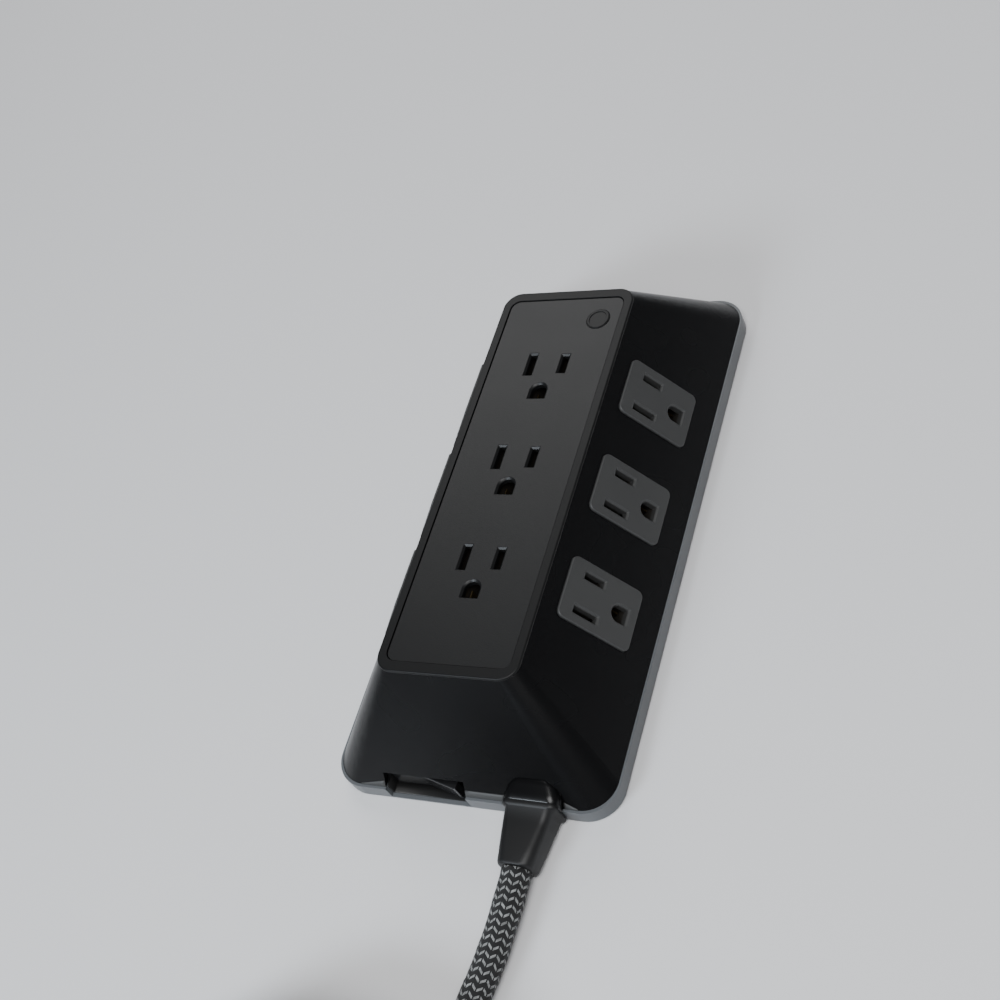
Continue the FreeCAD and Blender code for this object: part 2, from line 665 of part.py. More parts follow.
def make_side_buses():
    reach = cell("bus_reach")
    floor = as_size(-STRIP_FLOOR)
    half = blade_spacing / 2
    for side_name, side in SIDES:
        for kind, strip_y, strip_width, contact_x, contact_y, gap, finger in (
                ("hot", slot_line_up + 6.3, 2.6, half, slot_line_up, BLADE_GAP, BLADE_FINGER),
                ("neutral", slot_line_up - 6.5, 2.6, -half, slot_line_up, BLADE_GAP, BLADE_FINGER),
                ("ground", slot_line_up - ground_offset, 6.0, as_size(0), slot_line_up - ground_offset,
                 PIN_GAP, PIN_FINGER)):
            label = f"{side_name}_{kind}_bus"
            pieces = [block(f"{label}_strip", [-reach, strip_y - strip_width / 2, floor],
                            [reach * 2, strip_width, strip_thickness])]
            for count, step in enumerate(ROW_STEPS, start=1):
                x = outlet_pitch * step + contact_x
                pieces += fingers(f"{label}_finger_{count}", x, contact_y, gap, finger, floor)
                if kind != "ground":
                    low = min(strip_y.value, contact_y.value - finger / 2)
                    high = max(strip_y.value, contact_y.value + finger / 2)
                    pieces.append(block(f"{label}_tab_{count}", [x - 2.0, low, floor],
                                        [4.0, high - low, strip_thickness]))
            placed_bus(label, pieces, side_row(side))


def make_carriers():
    half = blade_spacing / 2
    length = outlet_pitch * 2 + 26
    roof = panel_top - panel_thickness - 0.2
    depth = carrier_depth + 1.6
    outer = block("top_carrier_block", [-11.5, -length / 2, roof - depth], [23, length, depth])
    floor = panel_top - panel_thickness - CARRIER_TOP - carrier_depth + 2.6 - STEP
    channels = []
    for name, x, width in (("hot", half, 4.4), ("neutral", -half, 4.4), ("ground", as_size(0), 7.0)):
        channels.append(block(f"top_channel_{name}", [x - width / 2, -length / 2 - 1, floor],
                              [width, length + 2, depth + 2]))
    kept(cut("top_carrier_solid", outer, joined("top_channels", channels)), "top_contact_carrier")
    for side_name, side in SIDES:
        name = f"{side_name}_contact_carrier"
        outer = block(f"{name}_block", [-length / 2, -13, -(carrier_depth + CARRIER_TOP)], [length, 26, carrier_depth])
        floor = -STRIP_FLOOR - STEP
        tall = carrier_depth + 4
        channels = []
        for kind, y, width in (("hot", slot_line_up + 6.3, 3.0), ("neutral", slot_line_up - 6.5, 3.0),
                               ("ground", slot_line_up - ground_offset, 6.4)):
            channels.append(block(f"{name}_{kind}", [-length / 2 - 1, y - width / 2, floor],
                                  [length + 2, width, tall]))
        for step in ROW_STEPS:
            for kind, sign, low, high in (("hot", 1, -3.8, 7.4), ("neutral", -1, -7.4, 3.8)):
                x = outlet_pitch * step + half * sign
                channels.append(block(f"{name}_{kind}_well_{step + 1}", [x - 2.6, slot_line_up + low, floor],
                                      [5.2, high - low, tall]))
        solid = cut(f"{name}_solid", outer, joined(f"{name}_channels", channels))
        kept(solid, name, side_row(side))


# ---- circuit board and its components -------------------------------------------------------

def make_board():
    low = [-board_width / 2, -60, board_level]
    board = block("board_blank", low, [board_width, board_length, BOARD_THICKNESS])
    holes = [rod(f"board_hole_{index}", [x, y, board_level - 1], 1.15, 4)
             for index, (x, y) in enumerate(BOARD_SCREW_PLACES)]
    kept(cut("board_solid", board, joined("board_holes", holes)), "circuit_board")
    top = board_level + BOARD_THICKNESS
    screws = []
    for index, (x, y) in enumerate(BOARD_SCREW_PLACES):
        head = rod(f"board_screw_head_{index}", [x, y, top], 2.1, 1.5)
        shank = rod(f"board_screw_shank_{index}", [x, y, 1.8], 0.85, top - 1.8 + 0.5)
        slot = block(f"board_screw_slot_{index}", [x - 3, y - 0.3, top + 0.8], [6, 0.6, 2])
        screws.append(cut(f"board_screw_{index}", joined(f"board_screw_body_{index}", [head, shank]), slot))
    kept(grouped("board_screw_group", screws), "board_screws")
    along_y = Rotation(Vector(1, 0, 0), -90)
    along_x = Rotation(Vector(0, 1, 0), 90)
    discs = [rod(f"varistor_{index}", [0, y, top + 7.4], 7.2, 4.4, along_y)
             for index, y in enumerate((-44, -34, -24))]
    kept(grouped("varistor_group", discs), "varistor_discs")
    kept(rod("fuse_body", [-17, -34, top + 2.3], 2.2, 9, along_x), "thermal_fuse")
    capacitor = block("capacitor_box", [-9, -12, top], [18, 8, 14])
    edges = doc.addObject("Part::Fillet", "capacitor_rounded")
    edges.Base = capacitor
    doc.recompute()
    edges.Edges = [(index, 0.8, 0.8) for index in range(1, 13)]
    kept(edges, "film_capacitor")
    core = doc.addObject("Part::Torus", "choke_core_ring")
    bind(core, "Radius1", 7.5)
    bind(core, "Radius2", 2.8)
    bind(core, "Placement.Base.y", 16)
    bind(core, "Placement.Base.z", top + 3.9)
    kept(core, "choke_core")
    sleeve = doc.addObject("Part::Torus", "choke_winding_ring")
    inner = doc.addObject("Part::Torus", "choke_winding_hole")
    for ring, radius in ((sleeve, 3.8), (inner, 2.85)):
        bind(ring, "Radius1", 7.5)
        bind(ring, "Radius2", radius)
        bind(ring, "Placement.Base.y", 16)
        bind(ring, "Placement.Base.z", top + 3.9)
    split = block("choke_split", [-2, 0, top - 1], [4, 32, 12])
    kept(cut("choke_winding_halves", cut("choke_sleeve", sleeve, inner), split), "choke_winding")


# ---- switch ---------------------------------------------------------------------------------

PIVOT_Y = -94.5
LEVER_Y = -86.6
SWITCH_BOTTOM = 1.5
SWITCH_TOP = 10.8
SWITCH_WALL = 0.8


def switch_place(y, angle):
    return Placement(Vector(-switch_centre.value, y, 0), Rotation(Vector(0, 0, 1), angle))


def make_switch():
    low_x = -switch_centre - 14.4
    height = SWITCH_TOP - SWITCH_BOTTOM
    shell = block("switch_shell", [low_x, -96.2, SWITCH_BOTTOM], [28.8, 14.2, height])
    flange = block("switch_flange", [-switch_centre - 14.8, -97.4, SWITCH_BOTTOM - 0.2], [29.6, 1.2, height + 0.3])
    cavity = block("switch_cavity", [low_x + SWITCH_WALL, -98, SWITCH_BOTTOM + SWITCH_WALL],
                   [28.8 - 2 * SWITCH_WALL, 15, height - 2 * SWITCH_WALL])
    tools = [cavity]
    for name, y, radius in (("rocker", PIVOT_Y, pivot_radius), ("lever", LEVER_Y, 0.9)):
        tools.append(rod(f"switch_bore_{name}", [-switch_centre, y, 0], radius + pivot_clearance, 14))
    for index, x in enumerate((-22, -6)):
        tools.append(block(f"switch_tab_way_{index}", [x - 2.5, -84, 7.1], [5.0, 3, 1.0]))
    solid = cut("switch_body_solid", joined("switch_case", [shell, flange]), joined("switch_tools", tools))
    kept(solid, "switch_body")
    tabs = [block(f"switch_tab_{index}", [x - 2.4, -83.6, 7.2], [4.8, 6.6, 0.8])
            for index, x in enumerate((-22, -6))]
    kept(grouped("switch_tabs", tabs), "switch_terminals")


def make_rocker():
    """The rocker is drawn in its level position round its own pivot, then tilted to rest."""
    body = doc.addObject("PartDesign::Body", "rocker_body")
    sketch = body_sketch(body, "rocker_outline")
    outline = [(-12.8, -5.9), (0, -4.4), (12.8, -5.9), (12.8, -3.1), (4, 2.5), (-4, 2.5), (-12.8, -3.1)]
    corners = [Vector(x, y, 0) for x, y in outline]
    for index in range(len(corners)):
        sketch.addGeometry(Part.LineSegment(corners[index], corners[(index + 1) % len(corners)]))
    for index in range(len(corners)):
        constrain(sketch, "Coincident", index, 2, (index + 1) % len(corners), 1)
        constrain(sketch, "DistanceX", -1, 1, index, 1, size=as_size(outline[index][0]), name=f"corner_x_{index}")
        constrain(sketch, "DistanceY", -1, 1, index, 1, size=as_size(outline[index][1]), name=f"corner_y_{index}")
    bind(sketch, "AttachmentOffset.Base.z", as_size(SWITCH_BOTTOM + SWITCH_WALL + 0.4))
    pad = body.newObject("PartDesign::Pad", "rocker_pad")
    pad.Profile = sketch
    bind(pad, "Length", as_size(SWITCH_TOP - SWITCH_BOTTOM - 2 * SWITCH_WALL - 0.8))
    doc.recompute()

    def is_front(middle, edge):
        return abs(middle.y + 5.9) < 0.1 or (abs(abs(middle.x) - 6.4) < 1 and middle.y < -4)

    front = edges_where(pad.Shape, is_front)
    rounded = dressed(body, "Fillet", pad, front, as_size(0.5))
    stub = body.newObject("PartDesign::AdditiveCylinder", "rocker_stub")
    bind(stub, "Radius", pivot_radius)
    bind(stub, "Height", as_size(SWITCH_TOP - SWITCH_BOTTOM - 0.2))
    bind(stub, "Placement.Base.z", as_size(SWITCH_BOTTOM + 0.1))
    body.Tip = stub
    kept(body, "switch_rocker", switch_place(PIVOT_Y, cell("rest_tilt").value))
    arm = block("lever_arm", [-8, -0.6, 4.0], [16, 1.2, 4.6])
    pin = rod("lever_pin", [0, 0, SWITCH_BOTTOM + 0.1], 0.9, SWITCH_TOP - SWITCH_BOTTOM - 0.2)
    kept(joined("lever_solid", [arm, pin]), "switch_contact_lever", switch_place(LEVER_Y, -cell("rest_tilt").value))


# ---- wires and the cord ---------------------------------------------------------------------

ARC_SHARE = 0.45                # share of the shorter run that an arc takes up
COIL_ROUNDING = 3.0


def tube(label, points, radius, report=False):
    """A round wire along straight runs joined by tangent arcs, each as large as its runs allow."""
    points = [Vector(*point) for point in points]
    edges = []
    radii = []
    start = points[0]
    for before, corner, after in zip(points, points[1:], points[2:]):
        arriving = (corner - before).normalize()
        leaving = (after - corner).normalize()
        half_turn = arriving.getAngle(leaving) / 2
        reach = ARC_SHARE * min((corner - before).Length, (after - corner).Length)
        arc_radius = reach / math.tan(half_turn)
        arc_start = corner - arriving * reach
        arc_end = corner + leaving * reach
        towards = (leaving - arriving).normalize()
        middle = corner + towards * (arc_radius / math.cos(half_turn) - arc_radius)
        edges.append(Part.LineSegment(start, arc_start).toShape())
        edges.append(Part.Arc(arc_start, middle, arc_end).toShape())
        radii.append(arc_radius)
        start = arc_end
    edges.append(Part.LineSegment(start, points[-1]).toShape())
    path = Part.Wire(edges)
    length = path.Length
    heading = (points[1] - points[0]).normalize()
    section = Part.Wire([Part.Circle(points[0], heading, radius).toShape()])
    solid = path.makePipeShell([section], True, False)
    expected = math.pi * radius * radius * length
    if abs(solid.Volume - expected) > 0.01 * expected:
        raise RuntimeError(f"{label} has volume {solid.Volume:.1f} and should have {expected:.1f}")
    if report:
        rounded = ", ".join(f"{value:.0f}" for value in radii)
        print(f"{label}: length {length:.1f}, arc radii {rounded}, volume ratio {solid.Volume / expected:.4f}")
    return solid, length


def wire_feature(label, runs, radius):
    """One wire, or several wires of one circuit kept together."""
    solids = [tube(label, points, radius)[0] for points in runs]
    thing = doc.addObject("Part::Feature", f"{label}_wire")
    thing.Shape = solids[0] if len(solids) == 1 else Part.makeCompound(solids)
    kept(thing, label)


LEAD_RADIUS = 1.2
BOARD_TOP = board_level.value + BOARD_THICKNESS


def make_leads():
    side = cord_side.value
    relief_inner = -93.3
    wire_feature("lead_hot", [[(side - 2.6, relief_inner, 7.8), (side - 2.6, -86, 10), (10, -79.4, 13.5),
                               (-6, -79.2, 13.5), (-6, -79.2, 8.05)]], LEAD_RADIUS)
    wire_feature("lead_switched", [[(-22, -79.2, 8.05), (-22, -79.2, 13), (-20, -67, 13.5), (-17, -56, 13),
                                    (-17, -56, BOARD_TOP + 0.02)]], LEAD_RADIUS)
    wire_feature("lead_neutral", [[(side + 2.6, relief_inner, 7.8), (side + 2.2, -80, 8.6), (20, -66, 9.4),
                                   (15, -57, 9.8), (15, -57, BOARD_TOP + 0.02)]], LEAD_RADIUS)
    wire_feature("lead_ground", [[(side, relief_inner, 3.7), (side - 0.5, -84, 4.2), (15, -74, 6.4), (8, -64, 9.4),
                                  (6, -57, 9.8), (6, -57, BOARD_TOP + 0.02)]], LEAD_RADIUS)


def make_links(top_floor):
    """Wires from the board's far edge up to the end tab of each bus bar."""
    middle = strip_thickness.value / 2
    gap_y = bus_reach.value + 0.05
    half = blade_spacing.value / 2
    places = {
        "hot": (half, slot_line_up.value + 6.3, 11.0),
        "neutral": (-half, slot_line_up.value - 6.5, 15.5),
        "ground": (0.0, slot_line_up.value - ground_offset.value, 20.0),
    }
    for kind, (top_x, strip_y, board_x) in places.items():
        top_z = top_floor.value + middle
        runs = [[(top_x, 61.2, BOARD_TOP + 0.02), (top_x, 61.2, top_z), (top_x, gap_y, top_z)]]
        for side in (1, -1):
            end = side_row(side).multVec(Vector(gap_y * side, strip_y, -STRIP_FLOOR + middle))
            runs.append([(board_x * side, 61.2, BOARD_TOP + 0.02), (board_x * side, 61.2, 9.0),
                         (end.x, 61.6, end.z), (end.x, end.y, end.z)])
        wire_feature(f"{kind}_links", runs, 1.0)


def make_strain_relief():
    side = cord_side
    neck = block("relief_neck", [side - 8.5, -base_length / 2 - 0.5, 1.0], [17, 10.35, 11.0])
    inner = block("relief_inner_flange", [side - 10, -95.4, 2.4], [20, 1.65, 10.0])
    collar = block("relief_collar", [side - 9.5, -base_length / 2 - 1.9, 0.4], [19, 1.8, 12.2])
    outlines = []
    for name, y, width, height in (("root", base_length / 2 + 1.9, 16.4, 11.2), ("end", relief_end, 11.2, 11.0)):
        sketch = doc.addObject("Sketcher::SketchObject", f"relief_{name}")
        rounded_outline(sketch, as_size(width), as_size(height), as_size(2.6), "outline")
        sketch.Placement = Placement(Vector(side.value, -y.value, cord_level.value), Rotation(Vector(1, 0, 0), 90))
        outlines.append(sketch)
    taper = lofted("relief_taper", outlines[0], outlines[1])
    kept(joined("relief_solid", [neck, inner, collar, taper]), "strain_relief")


# The cord lies along these points: out of the strain relief, onto the surface, and round to the
# coil, where it joins the outer turn on its right side.
CORD_RUN = [
    (25.0, -124.0, 6.3),
    (25.2, -147.0, 5.2),
    (20.5, -174.0, 4.8),
    (25.0, -200.0, 4.9),
    (32.5, -223.5, 5.4),
]
# From the coil's top outer turn, over the cord's own first stretch, and down to the plug.
CORD_TAIL = [
    (4.8, -191.8, 25.2),
    (22.2, -198.1, 21.5),
    (36.8, -211.7, 15.5),
    (45.0, -231.0, 10.0),
    (45.2, -251.0, 7.0),
]


def make_cord():
    radius = cord_diameter.value / 2
    total = 0.0
    for label, points in (("cord_run", CORD_RUN), ("cord_tail", CORD_TAIL)):
        solid, length = tube(label, points, radius, report=True)
        thing = doc.addObject("Part::Feature", f"{label}_tube")
        thing.Shape = solid
        kept(thing, label)
        total += length
    print(f"cord outside the coil: {total:.1f}")
    make_coil()


def coil_ring(name, inner_radius, low, height, keep_low_edges):
    """A round-edged ring about the coil's centre."""
    x, y = -cell("coil_centre_side"), -cell("coil_centre_out")
    outer = rod(f"{name}_outer", [x, y, low], coil_outer_turn + cord_diameter / 2, height)
    inner = rod(f"{name}_inner", [x, y, low - 1], inner_radius, height + 2)
    ring = cut(f"{name}_ring", outer, inner)
    doc.recompute()
    floor = low.value
    rounded = doc.addObject("Part::Fillet", name)
    rounded.Base = ring
    for index, edge in enumerate(ring.Shape.Edges, start=1):
        is_circle = edge.Curve.TypeId == "Part::GeomCircle"
        is_low = abs(edge.BoundBox.ZMin - floor) < STEP
        if is_circle and not (keep_low_edges and is_low):
            rounded.Edges = rounded.Edges + [(index, COIL_ROUNDING, COIL_ROUNDING)]
    return rounded


def make_coil():
    """Three columns of turns two layers high, and one more turn on the outer column."""
    inner_radius = coil_outer_turn - cord_diameter * 2.5
    lower = coil_ring("coil_lower", inner_radius, coil_lift, cord_diameter * 2, False)
    overlap = as_size(2 * COIL_ROUNDING)
    upper_low = coil_lift + cord_diameter * 2 - overlap
    upper = coil_ring("coil_upper", coil_outer_turn - cord_diameter / 2, upper_low, cord_diameter + overlap, True)
    kept(joined("coil_solid", [lower, upper]), "cord_coil")


TIE_ANGLE = 250.0
TIE_WIDTH = 14.0
TIE_FIT = 0.1


def tie_block(name, grow, half_width):
    """A slab with the outline of the coil's turns, grown on every side: out along X and up along Z."""
    inner = (coil_outer_turn - cord_diameter * 2.5).value - grow
    outer = (coil_outer_turn + cord_diameter / 2).value + grow
    step = (coil_outer_turn - cord_diameter / 2).value - grow / 2
    low = coil_lift.value - grow
    shoulder = (coil_lift + cord_diameter * 2).value + grow
    top = (coil_lift + cord_diameter * 3).value + grow
    sketch = doc.addObject("Sketcher::SketchObject", f"{name}_outline")
    corners = [Vector(*corner, 0) for corner in
               ((inner, low), (outer, low), (outer, top), (step, top), (inner, shoulder))]
    for index in range(len(corners)):
        sketch.addGeometry(Part.LineSegment(corners[index], corners[(index + 1) % len(corners)]))
    for index in range(len(corners)):
        corner = corners[index]
        constrain(sketch, "Coincident", index, 2, (index + 1) % len(corners), 1)
        constrain(sketch, "DistanceX", -1, 1, index, 1, size=as_size(corner.x), name=f"out_{index}")
        constrain(sketch, "DistanceY", -1, 1, index, 1, size=as_size(corner.y), name=f"up_{index}")
    sketch.Placement = Placement(Vector(0, half_width, 0), Rotation(Vector(1, 0, 0), 90))
    thing = doc.addObject("Part::Extrusion", name)
    thing.Base = sketch
    thing.Dir = Vector(0, -1, 0)
    thing.Solid = True
    bind(thing, "LengthFwd", as_size(2 * half_width))
    return thing


def make_tie():
    """A strap pulled round all the turns at one place of the coil."""
    outer = tie_block("tie_outer", coil_lift.value, TIE_WIDTH / 2)
    hole = tie_block("tie_hole", TIE_FIT, TIE_WIDTH)
    centre = Vector(-cell("coil_centre_side").value, -cell("coil_centre_out").value, 0)
    kept(cut("tie_solid", outer, hole), "cord_tie", Placement(centre, Rotation(Vector(0, 0, 1), TIE_ANGLE)))


# ---- plug -----------------------------------------------------------------------------------

PLUG_BLADE_LINE = 4.0
PLUG_TURN = 45.0                # degrees, so that its corner moulding points back along the strip
BLADE_LENGTH = 17.0
PIN_LENGTH = 20.5
PIN_RADIUS = 2.37
PIN_ROOT_RADIUS = 1.9           # the pin is held in the plug by a thinner root
PIN_SHOULDER = 0.4              # from the plug's face to the full pin


def make_plug():
    """The plug lies on its back with its blades up, drawn round its own centre."""
    centre = Vector(cell("plug_side").value, -cell("plug_out").value, 0)
    place = Placement(centre, Rotation(Vector(0, 0, 1), PLUG_TURN))
    body = doc.addObject("PartDesign::Body", "plug_shell")
    sketch = body_sketch(body, "plug_outline")
    rounded_outline(sketch, plug_size, plug_size, plug_radius, "outline")
    pad = body.newObject("PartDesign::Pad", "plug_pad")
    pad.Profile = sketch
    bind(pad, "Length", plug_depth - plug_cap)
    bind(sketch, "AttachmentOffset.Base.z", plug_cap)
    doc.recompute()
    top = plug_depth.value
    rim = edges_where(pad.Shape, lambda middle, edge: abs(middle.z - top) < 1e-4)
    rounded = dressed(body, "Fillet", pad, rim, as_size(1.6))
    body.Tip = rounded
    half = blade_spacing / 2
    ways = [block(f"plug_way_{name}", [x - 0.76, PLUG_BLADE_LINE - 3.2, plug_cap + 2], [1.52, 6.4, plug_depth])
            for name, x in (("hot", half), ("neutral", -half))]
    pin_y = PLUG_BLADE_LINE - ground_offset
    ways.append(rod("plug_way_ground", [0, pin_y, plug_cap + 2], PIN_ROOT_RADIUS + 0.01, plug_depth))
    solid = cut("plug_body_solid", body, joined("plug_ways", ways))
    kept(solid, "plug_body", place)
    cap = rounded_block("plug_cap_block", plug_size - 1.2, plug_size - 1.2, plug_radius - 0.6, as_size(0), plug_cap)
    doc.recompute()
    soft = doc.addObject("Part::Fillet", "plug_cap_rounded")
    soft.Base = cap
    low_edges = edges_where(cap.Shape, lambda middle, edge: abs(middle.z) < 1e-4)
    soft.Edges = [(int(name[4:]), 1.2, 1.2) for name in low_edges]
    kept(soft, "plug_face_cap", place)
    outlines = []
    for name, away, width, height in (("root", 12.0, 15.0, 10.4), ("end", 43.1, 11.2, 10.8)):
        sketch = doc.addObject("Sketcher::SketchObject", f"plug_relief_{name}")
        rounded_outline(sketch, as_size(width), as_size(height), as_size(2.6), "outline")
        face = Rotation(Vector(0, 0, 1), 135) * Rotation(Vector(1, 0, 0), 90)
        out = Vector(math.sqrt(0.5), math.sqrt(0.5), 0) * away
        sketch.Placement = Placement(out + Vector(0, 0, plug_depth.value / 2), face)
        outlines.append(sketch)
    taper = lofted("plug_relief_taper", outlines[0], outlines[1])
    seat = rounded_block("plug_relief_seat", plug_size, plug_size, plug_radius, as_size(-2), plug_depth + 4)
    kept(cut("plug_relief_solid", taper, seat), "plug_strain_relief", place)
    root = plug_cap + 2.05
    for name, x in (("hot", half), ("neutral", -half)):
        blade = block(f"plug_blade_{name}_bar", [x - 0.75, PLUG_BLADE_LINE - 3.15, root],
                      [1.5, 6.3, plug_depth - root + BLADE_LENGTH])
        doc.recompute()
        tip = doc.addObject("Part::Chamfer", f"plug_blade_{name}_tip")
        tip.Base = blade
        end = (plug_depth + BLADE_LENGTH).value
        names = edges_where(blade.Shape, lambda middle, edge: abs(middle.z - end) < 1e-4)
        tip.Edges = [(int(item[4:]), 0.5, 0.5) for item in names]
        across = Rotation(Vector(0, 1, 0), 90)
        hole = rod(f"plug_blade_{name}_hole", [x - 2, PLUG_BLADE_LINE, end - 3.6], 1.6, 4, across)
        kept(cut(f"plug_blade_{name}_solid", tip, hole), f"plug_blade_{name}", place)
    shoulder = plug_depth + PIN_SHOULDER
    pin = rod("plug_pin_bar", [0, pin_y, shoulder], PIN_RADIUS, PIN_LENGTH - PIN_SHOULDER)
    doc.recompute()
    end = (plug_depth + PIN_LENGTH).value
    tip = doc.addObject("Part::Fillet", "plug_pin_tip")
    tip.Base = pin
    names = edges_where(pin.Shape, lambda middle, edge: abs(middle.z - end) < 1e-4)
    tip.Edges = [(int(item[4:]), 1.8, 1.8) for item in names]
    pin_root = rod("plug_pin_root", [0, pin_y, root], PIN_ROOT_RADIUS, shoulder - root)
    kept(joined("plug_pin_solid", [tip, pin_root]), "plug_ground_pin", place)


# ---- fasteners ------------------------------------------------------------------------------

def make_screws():
    screws = []
    for index, (x, y) in enumerate(SCREW_PLACES):
        head = doc.addObject("Part::Cone", f"screw_head_{index}")
        bind(head, "Radius1", 3.2)
        bind(head, "Radius2", 1.4)
        bind(head, "Height", 1.8)
        for axis, value in zip("xyz", (x, y, 0.2)):
            bind(head, f"Placement.Base.{axis}", value)
        shank = rod(f"screw_shank_{index}", [x, y, 1.9], 1.25, 14)
        solid = joined(f"screw_body_{index}", [head, shank])
        arms = [block(f"screw_cross_a_{index}", [x - 1.7, y - 0.35, 0], [3.4, 0.7, 1.2]),
                block(f"screw_cross_b_{index}", [x - 0.35, y - 1.7, 0], [0.7, 3.4, 1.2])]
        cross = joined(f"screw_cross_{index}", arms)
        screws.append(cut(f"screw_{index}", solid, cross))
    kept(grouped("screw_group", screws), "housing_screws")


# ---- build, check and write -----------------------------------------------------------------

make_base()
make_cover()
make_bezel()
make_panel()
make_badge()
make_plates()
top_floor = make_top_buses()
make_side_buses()
make_carriers()
make_board()
make_switch()
make_rocker()
make_leads()
make_links(top_floor)
make_strain_relief()
make_cord()
make_tie()
make_plug()
make_screws()
doc.recompute()

for thing in doc.Objects:
    if "Invalid" in thing.State or "Error" in thing.State:
        raise RuntimeError(f"{thing.Name} ({thing.Label}) failed to compute: {thing.State}")
for thing in sub_parts:
    shape = thing.Shape
    if shape.isNull() or not shape.isValid() or not shape.Solids:
        raise RuntimeError(f"{thing.Label} has no valid solid")

os.makedirs("parts", exist_ok=True)
for thing in sub_parts:
    thing.Shape.exportStep(f"parts/{thing.Label}.step")
print(f"{len(sub_parts)} sub-parts written")
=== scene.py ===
import json
import math

import bmesh
import bpy
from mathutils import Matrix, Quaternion, Vector


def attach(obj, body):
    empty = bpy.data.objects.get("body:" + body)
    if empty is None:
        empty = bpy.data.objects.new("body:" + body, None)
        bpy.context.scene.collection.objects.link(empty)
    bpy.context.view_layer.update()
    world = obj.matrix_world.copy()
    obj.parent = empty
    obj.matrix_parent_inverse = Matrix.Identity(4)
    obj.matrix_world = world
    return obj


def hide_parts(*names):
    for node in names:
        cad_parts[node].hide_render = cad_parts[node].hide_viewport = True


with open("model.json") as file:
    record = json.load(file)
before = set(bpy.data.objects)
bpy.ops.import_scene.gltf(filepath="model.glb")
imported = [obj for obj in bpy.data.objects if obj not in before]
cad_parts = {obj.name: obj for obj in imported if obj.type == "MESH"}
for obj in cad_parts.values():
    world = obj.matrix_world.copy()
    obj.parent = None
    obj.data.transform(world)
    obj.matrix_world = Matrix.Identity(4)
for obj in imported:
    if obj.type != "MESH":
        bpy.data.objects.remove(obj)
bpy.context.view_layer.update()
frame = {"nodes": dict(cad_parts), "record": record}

# The looks of a nine-outlet surge protector strip. Lengths are in metres, in the CAD frame:
# X across the strip, Y along it away from the cord, Z up from its underside.

MM = 0.001


def mm(*values):
    """A point given in millimetres, as a vector in metres."""
    return Vector(values) * MM


# ---- camera ---------------------------------------------------------------------------------

CAMERA_PLACE = mm(236.2, -259.8, 410.8)
CAMERA_TARGET = mm(-15.1, 2.8, 20.0)
CAMERA_ROLL = math.radians(-33.9)
CAMERA_LENS = 54.6
SENSOR_WIDTH = 36.0


def make_camera():
    """The camera at the photograph's viewing angle, rolled as the photograph is."""
    data = bpy.data.cameras.new("camera")
    data.lens = CAMERA_LENS
    data.sensor_width = SENSOR_WIDTH
    data.clip_start = 0.01
    data.clip_end = 20.0
    camera = bpy.data.objects.new("camera", data)
    camera.location = CAMERA_PLACE
    aim = (CAMERA_TARGET - CAMERA_PLACE).to_track_quat("-Z", "Y")
    camera.rotation_mode = "QUATERNION"
    camera.rotation_quaternion = aim @ Quaternion((0, 0, 1), CAMERA_ROLL)
    bpy.context.scene.collection.objects.link(camera)
    bpy.context.scene.camera = camera


# ---- materials ------------------------------------------------------------------------------

# Sockets of the mix node, which has one set for each kind of value.
MIX_FACTOR, MIX_FIRST, MIX_SECOND, MIX_RESULT = 0, 6, 7, 2


